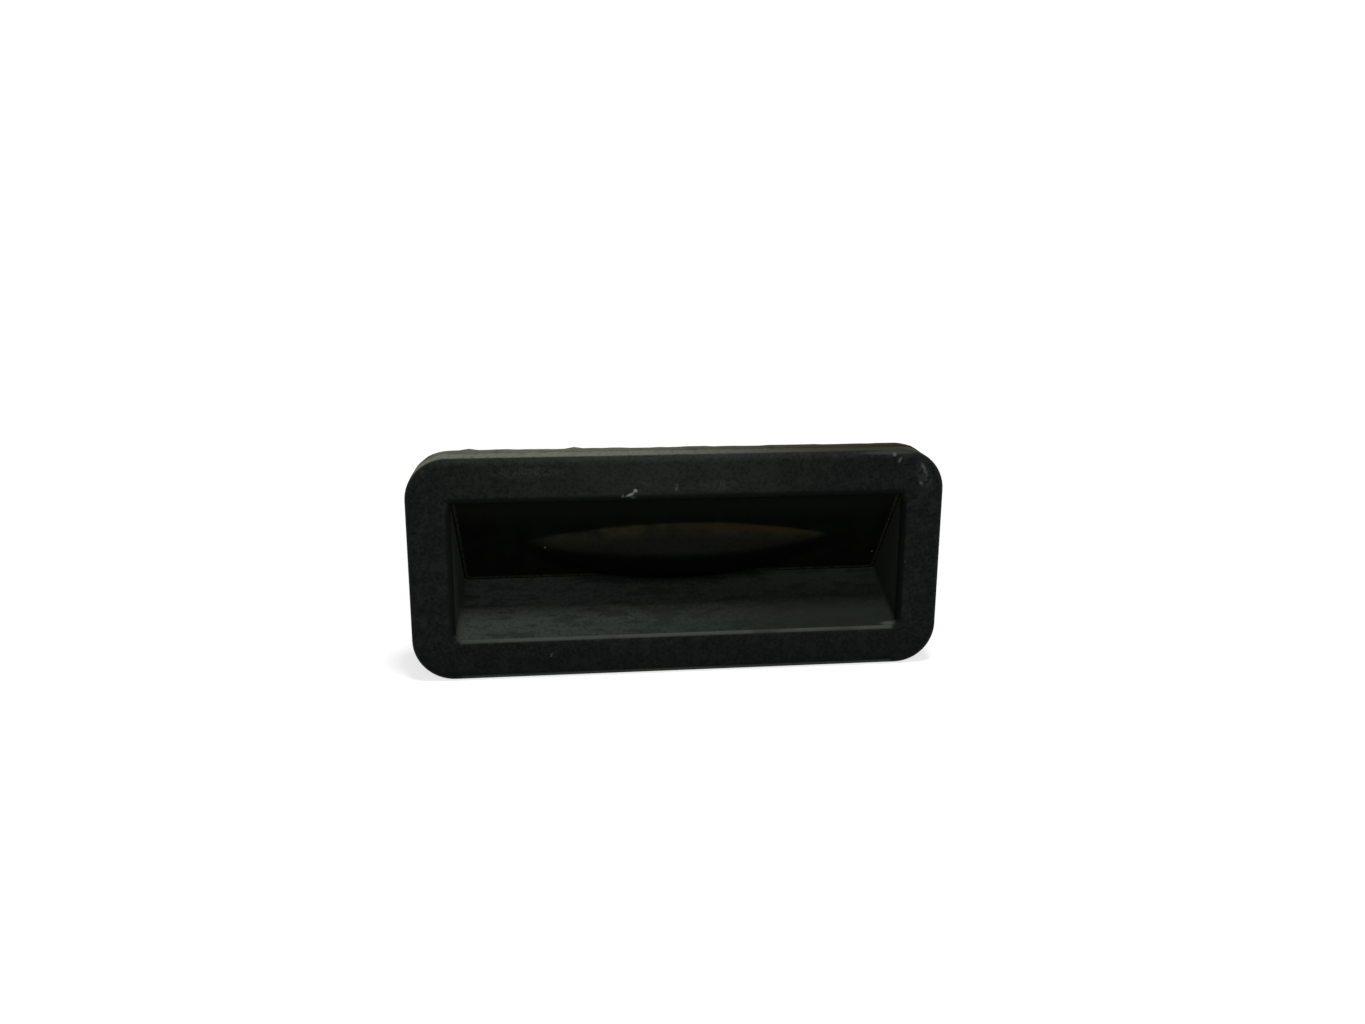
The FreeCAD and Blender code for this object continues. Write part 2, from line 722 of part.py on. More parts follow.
def make_switch_carrier():
    """Leaning face plate with a tub for the paddle, end walls, and posts for the board."""
    face = leaning_block("carrier_plate", both_sides("place.carrier_x"),
                         ("-size.carrier_below", "place.panel_length + size.lip_thickness"),
                         ("place.membrane_out - size.carrier_face", "place.membrane_out"))
    tub = leaning_block("carrier_tub", both_sides("place.tub_outer_x"),
                        ("place.tub_low_up - size.tub_wall", "place.tub_high_up + size.tub_wall"),
                        ("place.tub_back_out", "place.membrane_out"))
    solids = [face, tub]
    inner_x = "place.carrier_x - size.carrier_end_wall"
    wall_y = ("place.lip_y", "place.collar_y")
    solids.append(block("left_end_wall", ("-place.carrier_x", f"-({inner_x})"), wall_y,
                        both_sides("place.carrier_z")))
    solids.append(block("right_end_wall", (inner_x, "place.carrier_x"), wall_y,
                        both_sides("place.carrier_z")))
    rough = joined("carrier_rough", solids)
    room = block("carrier_room", both_sides("place.carrier_x"),
                 ("place.lip_y + size.carrier_fit", "place.collar_y"), both_sides("place.carrier_z"))
    behind = leaning_block("behind_membrane", both_sides("place.carrier_x"),
                           ("-place.box_height", "place.box_height"),
                           ("-2 * place.box_height", "place.membrane_out"))
    trimmed = shared("carrier_trimmed", [rough, room, behind])

    posts = []
    for side, hand in (("left", "-"), ("right", "+")):
        posts.append(leaning_rod(f"{side}_post", f"{hand}size.post_spread / 2", "place.post_up",
                                 ("place.case_back_out", "place.tub_back_out"), "size.post_radius"))
    with_posts = joined("carrier_with_posts", [trimmed] + posts)

    cuts = [
        leaning_block("paddle_recess", both_sides("place.tub_x"),
                      ("place.tub_low_up", "place.tub_high_up"),
                      ("place.tub_floor_out", "size.overrun")),
        leaning_rod("plunger_way", "0", "place.switch_up",
                    ("place.tub_back_out - size.part_gap", "place.tub_floor_out + size.part_gap"),
                    "size.plunger_radius + size.plunger_way_gap"),
        cross_rod("pin_bore", both_sides("place.tub_outer_x"), "place.hinge_up", "place.hinge_out",
                  "size.pin_radius + size.pin_seat_gap"),
    ]
    for side, hand in (("left", "-"), ("right", "+")):
        cuts.append(leaning_rod(f"{side}_post_bore", f"{hand}size.post_spread / 2", "place.post_up",
                                ("place.case_back_out - size.part_gap",
                                 "place.case_back_out + size.screw_length - size.board_thickness"),
                                "size.screw_radius + size.pin_seat_gap"))
    return piece("switch_carrier", less("switch_carrier", with_posts, cuts))


def make_press_paddle():
    """Stiff plate behind the membrane, with a crown in the pad and knuckles on the hinge pin."""
    plate = leaning_block("paddle_plate", both_sides("place.paddle_width / 2"),
                          ("size.paddle_low", "place.hinge_up"),
                          ("place.paddle_back_out", "place.paddle_front_out"))
    knuckles = cross_rod("paddle_knuckles", both_sides("place.paddle_width / 2"), "place.hinge_up",
                         "place.hinge_out", "size.knuckle_radius")
    anvil = leaning_rod("paddle_anvil", "0", "place.switch_up",
                        ("place.anvil_out", "place.paddle_back_out + size.part_gap"),
                        "size.anvil_radius")
    smaller = value("size.pad_wall + size.crown_gap")
    crown_foot = value("place.paddle_front_out - size.part_gap")
    flats = int(value("size.belly_flats"))
    crown = leaning_shape("paddle_crown", lens_solid(smaller, crown_foot, flats))
    solid = joined("paddle_solid", [plate, knuckles, anvil, crown])
    cuts = [cross_rod("paddle_bore", both_sides("place.paddle_width"), "place.hinge_up",
                      "place.hinge_out", "size.pin_radius + size.pin_running_fit")]
    half_gap = "size.spring_turns * size.spring_pitch / 2 + size.spring_wire + size.spring_room"
    gap_low = "place.hinge_up - place.coil_radius - size.spring_wire - size.spring_room"
    for side, hand in (("left", "-"), ("right", "+")):
        middle = f"{hand}size.spring_spread / 2"
        cuts.append(leaning_block(f"{side}_spring_gap",
                                  (f"{middle} - ({half_gap})", f"{middle} + ({half_gap})"),
                                  (gap_low, "place.tub_high_up"),
                                  ("place.tub_floor_out", "place.membrane_out")))
    return piece("press_paddle", less("press_paddle", solid, cuts))


def make_hinge_pin():
    """Steel rod through the tub's walls and the paddle's knuckles."""
    return piece("hinge_pin", cross_rod("hinge_pin", both_sides("place.tub_outer_x"), "place.hinge_up",
                                        "place.hinge_out", "size.pin_radius"))


def wire_outline(centre, along):
    """The spring wire's outline, square to its run, drawn with a few flat sides."""
    circle = Part.makeCircle(value("size.spring_wire") / 2, centre, along)
    return Part.makePolygon(circle.discretize(int(value("size.spring_wire_sides")) + 1))


def make_return_spring(side, hand):
    """Torsion spring: close turns round the hinge pin, one leg on the tub and one on the paddle."""
    wire = value("size.spring_wire") / 2
    radius = value("place.coil_radius")
    pitch = value("size.spring_pitch")
    length = pitch * value("size.spring_turns")
    leg = value("size.spring_leg")
    start = Vector(hand * value("size.spring_spread") / 2 - length / 2, value("place.hinge_up"),
                   value("place.hinge_out"))
    helix = Part.makeHelix(pitch, length, radius)
    along_wire = Vector(0, 1, pitch / (2 * math.pi * radius))
    coil = Part.Wire(helix).makePipeShell([wire_outline(Vector(radius, 0, 0), along_wire)], True, True)
    # The axis of the turns goes across, and they start on the side of the tub's floor.
    turned = Rotation(Vector(0, 0, -1), Vector(0, 1, 0), Vector(1, 0, 0), "XYZ")
    coil.Placement = Placement(start, turned)
    foot = start + Vector(0, 0, -radius)
    rise = value("place.paddle_back_out") - wire - foot.z
    slope = math.asin(rise / leg)
    legs = []
    for across, angle in ((0, 0), (length, slope)):
        start_of_leg = foot + Vector(across, 0, 0)
        run = Vector(0, -math.cos(angle), math.sin(angle))
        legs.append(Part.Face(wire_outline(start_of_leg, run)).extrude(run * leg))
    return piece(f"return_spring_{side}", leaning_shape(f"return_spring_{side}",
                                                        coil.fuse(legs)))


def switch_slot(name, x, out, gap):
    """The way that a terminal takes through a wall, wider than it by the gap."""
    half = f"size.terminal_thickness / 2 + {gap}"
    wide = f"size.terminal_width / 2 + {gap}"
    return leaning_block(name, (f"{x} - ({half})", f"{x} + ({half})"),
                         (f"place.switch_up - ({wide})", f"place.switch_up + ({wide})"), out)


def make_microswitch_case():
    """Moulded case, open on its upper side, with a guide for the plunger."""
    half_width = "size.case_width / 2"
    outer = leaning_block("case_outer", both_sides("size.case_length / 2"),
                          (f"place.switch_up - {half_width}", f"place.switch_up + {half_width}"),
                          ("place.case_back_out", "place.tub_back_out"))
    top = f"place.switch_up + {half_width} + size.part_gap"
    cuts = [
        leaning_block("case_cavity", both_sides("place.cavity_x"),
                      (f"place.switch_up - {half_width} + size.case_wall", top),
                      ("place.cavity_back_out", "place.cavity_front_out")),
        leaning_block("case_rebate", both_sides("place.cavity_x + size.lid_rebate"),
                      ("place.lid_inner_up", top),
                      ("place.cavity_back_out - size.lid_rebate",
                       "place.cavity_front_out + size.lid_rebate")),
        leaning_rod("plunger_guide", "0", "place.switch_up",
                    ("place.cavity_front_out - size.part_gap", "place.tub_back_out + size.part_gap"),
                    "size.plunger_radius + size.part_gap"),
    ]
    for side, hand in (("common", "-"), ("signal", "+")):
        cuts.append(switch_slot(f"{side}_slot", f"{hand}place.terminal_x",
                                ("place.case_back_out - size.part_gap",
                                 "place.cavity_back_out + size.part_gap"), "size.part_gap"))
    return piece("microswitch_case", less("microswitch_case", outer, cuts))


def make_microswitch_lid():
    """Plate that closes the case from above, in its rebate."""
    return piece("microswitch_lid", leaning_block(
        "microswitch_lid", both_sides("place.cavity_x + size.lid_rebate - size.part_gap"),
        ("place.lid_inner_up", "place.switch_up + size.case_width / 2"),
        ("place.cavity_back_out - size.lid_rebate + size.part_gap",
         "place.cavity_front_out + size.lid_rebate - size.part_gap")))


def make_microswitch_plunger():
    """Turned plunger: chamfered stem, a flange that keeps it in the case, and a nib."""
    body = moulding("microswitch_plunger")
    half_section = flat_sketch(body, "plunger_half_section", "XZ_Plane", "0")
    draw_polygon(half_section, [
        ("0", "place.plunger_tip_out"),
        ("size.plunger_radius - size.plunger_tip_chamfer", "place.plunger_tip_out"),
        ("size.plunger_radius", "place.plunger_tip_out - size.plunger_tip_chamfer"),
        ("size.plunger_radius", "place.flange_top_out"),
        ("size.plunger_flange", "place.flange_top_out"),
        ("size.plunger_flange", "place.flange_top_out - size.plunger_flange_thickness"),
        ("size.nib_radius", "place.flange_top_out - size.plunger_flange_thickness"),
        ("size.nib_radius", "place.nib_out"),
        ("0", "place.nib_out"),
    ])
    turned = body.newObject("PartDesign::Revolution", "plunger_turned")
    turned.Profile = (half_section, [""])
    turned.ReferenceAxis = (half_section, ["V_Axis"])
    turned.Angle = 360
    return piece("microswitch_plunger", lean(body, "0", "place.switch_up", "0"))


def make_contact_blade():
    """Spring strip that rocks on the common terminal, with a contact rivet near its free end."""
    half_width = "size.blade_width / 2"
    strip = leaning_block("blade_strip",
                          ("place.blade_start", "place.blade_end"),
                          (f"place.switch_up - {half_width}", f"place.switch_up + {half_width}"),
                          ("place.blade_back_out", "place.blade_top_out"))
    rivet = leaning_rod("blade_rivet", "place.contact_x", "place.switch_up",
                        ("place.blade_back_out - size.contact_height", "place.blade_top_out"),
                        "size.contact_radius")
    return piece("contact_blade", joined("contact_blade", [strip, rivet]))


def make_terminal(name, x, top):
    """Upright strip through the case and the board."""
    half_width = "size.terminal_width / 2"
    half = "size.terminal_thickness / 2"
    return leaning_block(name, (f"{x} - {half}", f"{x} + {half}"),
                         (f"place.switch_up - {half_width}", f"place.switch_up + {half_width}"),
                         ("place.terminal_end_out", top))


def make_terminals():
    """The common terminal carries the blade, and the signal terminal carries the fixed contact."""
    piece("common_terminal", make_terminal("common_terminal", "-place.terminal_x",
                                           "place.blade_back_out - size.part_gap"))
    leg = make_terminal("signal_leg", "place.terminal_x", "place.fixed_contact_out")
    half_width = "size.terminal_width / 2"
    ledge = leaning_block("signal_ledge", ("place.contact_x - size.contact_radius", "place.terminal_x"),
                          (f"place.switch_up - {half_width}", f"place.switch_up + {half_width}"),
                          ("place.fixed_contact_out - size.terminal_thickness", "place.fixed_contact_out"))
    piece("signal_terminal", joined("signal_terminal", [leg, ledge]))


def make_circuit_board():
    """Board behind the switch, with holes for the terminals, the pins and the two screws."""
    plate = leaning_block("board_plate", both_sides("size.board_width / 2"),
                          ("place.board_low_up", "place.switch_up + size.board_above"),
                          ("place.board_back_out", "place.case_back_out"))
    through = ("place.board_back_out - size.part_gap", "place.case_back_out + size.part_gap")
    cuts = []
    for side, hand in (("left", "-"), ("right", "+")):
        cuts.append(switch_slot(f"{side}_terminal_hole", f"{hand}place.terminal_x", through,
                                "size.board_hole_gap"))
        cuts.append(leaning_rod(f"{side}_pin_hole", f"{hand}size.contact_pin_pitch / 2",
                                "place.pin_row_up", through, "size.contact_pin_radius + size.part_gap"))
        cuts.append(leaning_rod(f"{side}_screw_hole", f"{hand}size.post_spread / 2", "place.post_up",
                                through, "size.screw_radius + size.board_hole_gap"))
    return piece("circuit_board", less("circuit_board", plate, cuts))


def make_board_screw(side, hand):
    """Small screw through the board into its post, with a cross slot in the head."""
    across = f"{hand}size.post_spread / 2"
    head_out = "place.board_back_out - size.screw_head_height"
    head = leaning_rod(f"{side}_screw_head", across, "place.post_up", (head_out, "place.board_back_out"),
                       "size.screw_head_radius")
    shank_end = "place.board_back_out + size.screw_length - size.screw_end_gap"
    shank = leaning_rod(f"{side}_screw_shank", across, "place.post_up",
                        ("place.board_back_out", shank_end), "size.screw_radius")
    slot_out = (f"{head_out} - size.part_gap", f"{head_out} + size.screw_head_height / 2")
    middle = "place.post_up"
    slots = []
    for way, reach_x, reach_up in (("level", "size.screw_slot_length / 2", "size.screw_slot / 2"),
                                   ("upright", "size.screw_slot / 2", "size.screw_slot_length / 2")):
        slots.append(leaning_block(f"{side}_screw_{way}_slot",
                                   (f"{across} - {reach_x}", f"{across} + {reach_x}"),
                                   (f"{middle} - {reach_up}", f"{middle} + {reach_up}"), slot_out))
    solid = joined(f"{side}_screw_solid", [head, shank])
    return piece(f"board_screw_{side}", less(f"board_screw_{side}", solid, slots))


def make_connector_pin(side, hand):
    """Round pin that leaves the board square to it and bends level into the connector."""
    x = hand * value("size.contact_pin_pitch") / 2
    radius = value("size.contact_pin_radius")
    tail_y, tail_z = leaning_point("place.pin_row_up", "place.case_back_out + size.contact_pin_tail")
    tail = Vector(x, value(tail_y), value(tail_z))
    lean_angle = math.radians(value("size.panel_lean"))
    inward = Vector(0, math.cos(lean_angle), math.sin(lean_angle))
    level = Vector(0, 1, 0)
    corner = tail + inward * ((value("place.connector_z") - tail.z) / inward.z)
    tip = Vector(x, value("place.cover_out_y + size.socket_depth - size.contact_pin_short"), corner.z)
    cut_back = value("size.contact_pin_bend") * math.tan(lean_angle / 2)
    bend_in = corner - inward * cut_back
    bend_out = corner + level * cut_back
    to_centre = (level - inward).normalize()
    bisector = value("size.contact_pin_bend") * (1 / math.cos(lean_angle / 2) - 1)
    bend_middle = corner + to_centre * bisector
    path = Part.Wire([
        Part.LineSegment(tail, bend_in).toShape(),
        Part.Arc(bend_in, bend_middle, bend_out).toShape(),
        Part.LineSegment(bend_out, tip).toShape(),
    ])
    profile = Part.Wire([Part.makeCircle(radius, tail, inward)])
    pin = document.addObject("Part::Feature", f"connector_pin_{side}")
    pin.Shape = path.makePipeShell([profile], True, False)
    return piece(f"connector_pin_{side}", pin)


def make_rear_cover():
    """Lid of the box: plate, collar with two hooks, and the connector shroud with its latch lug."""
    body = moulding("rear_cover")
    plate = face_sketch(body, "cover_outline", "place.cover_in_y")
    draw_rounded(plate, "place.box_width", "place.box_height", "size.box_corner")
    pad(body, "cover_plate", plate, "size.cover_thickness", reverse=True)

    collar = face_sketch(body, "collar_ring", "place.cover_in_y")
    draw_rounded(collar, "2 * place.carrier_x", "2 * place.carrier_z", "size.collar_corner")
    draw_rounded(collar, "2 * (place.carrier_x - size.collar_wall)",
                 "2 * (place.carrier_z - size.collar_wall)", "size.collar_corner / 2")
    pad(body, "collar", collar, "size.collar_reach")

    for side, hand in (("left", "-"), ("right", "+")):
        hook = flat_sketch(body, f"{side}_hook_section", "XY_Plane", "0")
        inner = f"{hand}(place.carrier_x - size.collar_wall / 2)"
        crest = f"{hand}(place.carrier_x + size.hook_height)"
        draw_polygon(hook, [
            (inner, "place.hook_y"),
            (inner, "place.hook_y - size.hook_length"),
            (f"{hand}place.carrier_x", "place.hook_y - size.hook_length"),
            (crest, "place.hook_y - size.hook_length / 3"),
            (crest, "place.hook_y"),
        ])
        pad(body, f"{side}_hook", hook, "size.hook_width", middle=True)

    shroud = face_sketch(body, "shroud_ring", "place.cover_out_y")
    draw_rounded(shroud, "size.socket_width + 2 * size.socket_wall",
                 "size.socket_height + 2 * size.socket_wall",
                 "size.socket_corner + size.socket_wall", "place.connector_z")
    draw_rounded(shroud, "size.socket_width", "size.socket_height", "size.socket_corner",
                 "place.connector_z")
    pad(body, "shroud", shroud, "size.socket_depth", reverse=True)

    latch = flat_sketch(body, "latch_section", "YZ_Plane", "0")
    shroud_top = "place.connector_z + size.socket_height / 2 + size.socket_wall"
    latch_end = "place.cover_out_y + size.socket_depth - size.latch_height"
    draw_polygon(latch, [
        (f"{latch_end} - size.latch_length", f"{shroud_top} - size.socket_wall / 2"),
        (f"{latch_end} - size.latch_length", f"{shroud_top} + size.latch_height"),
        (f"{latch_end} - size.latch_length * 2 / 3", f"{shroud_top} + size.latch_height"),
        (latch_end, f"{shroud_top} - size.socket_wall / 2"),
    ])
    pad(body, "latch", latch, "size.latch_width", middle=True)

    holes = face_sketch(body, "pin_holes", "place.cover_in_y")
    for hand in ("-", "+"):
        draw_circle(holes, f"{hand}size.contact_pin_pitch / 2", "place.connector_z",
                    "size.contact_pin_radius + size.part_gap")
    pocket(body, "pin_passages", holes, "size.cover_thickness")
    return piece("rear_cover", body)


def make_cover_seal():
    """Flat rubber ring between the end of the box and the rear cover."""
    body = moulding("cover_seal")
    ring = face_sketch(body, "seal_ring", "place.box_rear_y")
    draw_rounded(ring, "place.box_width - 2 * size.seal_inset", "place.box_height - 2 * size.seal_inset",
                 "size.box_corner - size.seal_inset")
    draw_rounded(ring, "2 * (place.chamber_x + size.seal_inset)", "2 * (place.chamber_z + size.seal_inset)",
                 "size.collar_corner")
    pad(body, "seal", ring, "size.cover_seal", reverse=True)
    return piece("cover_seal", body)


make_bezel_housing()
make_flange_gasket()
make_button_membrane()
make_switch_carrier()
make_press_paddle()
make_hinge_pin()
make_return_spring("left", -1)
make_return_spring("right", 1)
make_microswitch_case()
make_microswitch_lid()
make_microswitch_plunger()
make_contact_blade()
make_terminals()
make_circuit_board()
make_board_screw("left", "-")
make_board_screw("right", "+")
make_connector_pin("left", -1)
make_connector_pin("right", 1)
make_rear_cover()
make_cover_seal()

document.recompute()

for thing in document.Objects:
    if "Invalid" in thing.State or "Error" in thing.State:
        raise RuntimeError(f"{thing.Name} could not be made")
for thing in pieces:
    if thing.Shape.isNull() or not thing.Shape.isValid() or not thing.Shape.Solids:
        raise RuntimeError(f"{thing.Label} is not a sound solid")

os.makedirs("parts", exist_ok=True)
for thing in pieces:
    thing.Shape.exportStep(f"parts/{thing.Label}.step")
    box = thing.Shape.BoundBox
    print(f"{thing.Label:22s} solids {len(thing.Shape.Solids)} volume {thing.Shape.Volume:9.2f}"
          f"  Y {box.YMin:7.2f} {box.YMax:7.2f}  Z {box.ZMin:7.2f} {box.ZMax:7.2f}")
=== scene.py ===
import json
import math

import bpy
import numpy as np
from mathutils import Matrix, Vector


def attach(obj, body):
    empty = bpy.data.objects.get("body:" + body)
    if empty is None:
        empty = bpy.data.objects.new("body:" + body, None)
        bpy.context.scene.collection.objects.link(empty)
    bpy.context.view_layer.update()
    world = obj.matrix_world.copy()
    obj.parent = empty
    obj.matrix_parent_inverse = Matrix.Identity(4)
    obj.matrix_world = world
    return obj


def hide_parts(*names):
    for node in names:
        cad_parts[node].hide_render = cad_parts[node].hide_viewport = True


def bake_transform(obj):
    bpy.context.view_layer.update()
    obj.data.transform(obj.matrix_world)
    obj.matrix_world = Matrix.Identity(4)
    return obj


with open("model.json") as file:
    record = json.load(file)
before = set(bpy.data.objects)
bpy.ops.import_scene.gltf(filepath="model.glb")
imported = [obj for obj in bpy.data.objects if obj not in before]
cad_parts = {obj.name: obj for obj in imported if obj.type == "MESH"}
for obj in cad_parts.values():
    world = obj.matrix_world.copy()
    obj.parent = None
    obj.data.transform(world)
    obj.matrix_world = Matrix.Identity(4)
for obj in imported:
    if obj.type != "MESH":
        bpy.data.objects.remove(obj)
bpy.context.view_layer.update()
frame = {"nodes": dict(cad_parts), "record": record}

MM = 0.001

# The rubber panel leans over the pocket. UP runs up along its face, OUT runs out of it to the
# front, and FOOT is the middle of its lower edge in millimetres, all in the part's own frame.
LEAN = math.radians(33.3)
UP = np.array([0.0, -math.sin(LEAN), math.cos(LEAN)])
OUT = np.array([0.0, -math.cos(LEAN), -math.sin(LEAN)])
FOOT = np.array([0.0, 5.0, -4.889])


# Materials

def add(tree, kind, sockets=None, **settings):
    """A new node, with its settings, and its sockets given a value or a link."""
    made = tree.nodes.new(kind)
    for name, setting in settings.items():
        setattr(made, name, setting)
    for name, source in (sockets or {}).items():
        if isinstance(source, bpy.types.NodeSocket):
            tree.links.new(source, made.inputs[name])
        else:
            made.inputs[name].default_value = source
    return made


def finish_of(name, rough, gloss, metal=0.0):
    """An empty finish: its material, its tree, its shader and the place on the object."""
    material = bpy.data.materials.new(name)
    material.use_nodes = True
    tree = material.node_tree
    shader = tree.nodes["Principled BSDF"]
    shader.inputs["Roughness"].default_value = rough
    shader.inputs["Specular IOR Level"].default_value = gloss
    shader.inputs["Metallic"].default_value = metal
    return material, tree, shader, add(tree, "ShaderNodeTexCoord").outputs["Object"]


def blotches(tree, where, size_mm, detail=3.0):
    """Cloudy noise whose lumps are about size_mm across."""
    return add(tree, "ShaderNodeTexNoise",
               {"Vector": where, "Scale": 1 / (size_mm * MM), "Detail": detail}).outputs["Fac"]


def cells(tree, where, size_mm):
    """Distance to the nearest of many scattered points about size_mm apart."""
    return add(tree, "ShaderNodeTexVoronoi",
               {"Vector": where, "Scale": 1 / (size_mm * MM)}).outputs["Distance"]


def fade(tree, amount, start, end, reach=1.0):
    """Rises smoothly from nothing at start to reach at end."""
    return add(tree, "ShaderNodeMapRange",
               {"Value": amount, "From Min": start, "From Max": end, "To Min": 0.0, "To Max": reach},
               interpolation_type="SMOOTHSTEP").outputs["Result"]


def product(tree, first, *others):
    """One mask seen through the others."""
    seen = first
    for other in others:
        both = add(tree, "ShaderNodeMath", operation="MULTIPLY")
        tree.links.new(seen, both.inputs[0])
        tree.links.new(other, both.inputs[1])
        seen = both.outputs["Value"]
    return seen


def between(tree, amount, low, high, soft):
    """Full from low to high, and fading to nothing within soft beyond them."""
    return product(tree, fade(tree, amount, low - soft, low), fade(tree, amount, high + soft, high))


def along(tree, where, direction, origin=(0.0, 0.0, 0.0)):
    """How far a place lies from the origin along a direction, in millimetres."""
    moved = add(tree, "ShaderNodeVectorMath", operation="SUBTRACT")
    tree.links.new(where, moved.inputs[0])
    moved.inputs[1].default_value = Vector(origin) * MM
    reach = add(tree, "ShaderNodeVectorMath", operation="DOT_PRODUCT")
    tree.links.new(moved.outputs["Vector"], reach.inputs[0])
    reach.inputs[1].default_value = Vector(direction) / MM
    return reach.outputs["Value"]


def near_spot(tree, where, spot_mm, half_sizes_mm, turn_degrees=0.0):
    """Full in the middle of an ellipsoid that is turned about Y, and nothing outside it."""
    local = add(tree, "ShaderNodeMapping", {
        "Vector": where,
        "Location": Vector(spot_mm) * MM,
        "Rotation": (0.0, math.radians(turn_degrees), 0.0),
        "Scale": Vector(half_sizes_mm) * MM,
    }, vector_type="TEXTURE").outputs["Vector"]
    length = add(tree, "ShaderNodeVectorMath", {"Vector": local}, operation="LENGTH")
    return fade(tree, length.outputs["Value"], 1.0, 0.35)


def coat(tree, mask, under, over):
    """One colour over another where the mask is full. A colour is a socket or three numbers."""
    mixed = add(tree, "ShaderNodeMix", data_type="RGBA")
    tree.links.new(mask, mixed.inputs[0])
    for socket, colour in ((6, under), (7, over)):
        if isinstance(colour, bpy.types.NodeSocket):
            tree.links.new(colour, mixed.inputs[socket])
        else:
            mixed.inputs[socket].default_value = (*colour, 1.0)
    return mixed.outputs[2]


def relief(tree, shader, height, depth_mm):
    """Small ups and downs of the surface, depth_mm deep."""
    bump = add(tree, "ShaderNodeBump", {"Height": height, "Distance": depth_mm * MM, "Strength": 1.0})
    tree.links.new(bump.outputs["Normal"], shader.inputs["Normal"])


def plain_moulding(name, base, pale, rough, gloss, patch_mm=9.0, grain_mm=0.3, depth_mm=0.01):
    """A moulded finish: faint cloudy patches of a paler tone, and a fine grain."""
    material, tree, shader, where = finish_of(name, rough, gloss)
    patches = fade(tree, blotches(tree, where, patch_mm, 5.0), 0.4, 0.75)
    tree.links.new(coat(tree, patches, base, pale), shader.inputs["Base Color"])
    relief(tree, shader, blotches(tree, where, grain_mm), depth_mm)
    return material


def metal_finish(name, base, dull, rough, grain_mm):
    """Metal with dull patches, which are rougher too."""
    patch_mm, depth_mm, rougher = 2.5, 0.004, 0.25
    material, tree, shader, where = finish_of(name, rough, gloss=0.5, metal=1.0)
    patches = fade(tree, blotches(tree, where, patch_mm, 4.0), 0.45, 0.7)
    tree.links.new(coat(tree, patches, base, dull), shader.inputs["Base Color"])
    worn = add(tree, "ShaderNodeMapRange", {"Value": patches, "To Min": rough, "To Max": rough + rougher})
    tree.links.new(worn.outputs["Result"], shader.inputs["Roughness"])
    relief(tree, shader, blotches(tree, where, grain_mm), depth_mm)
    return material


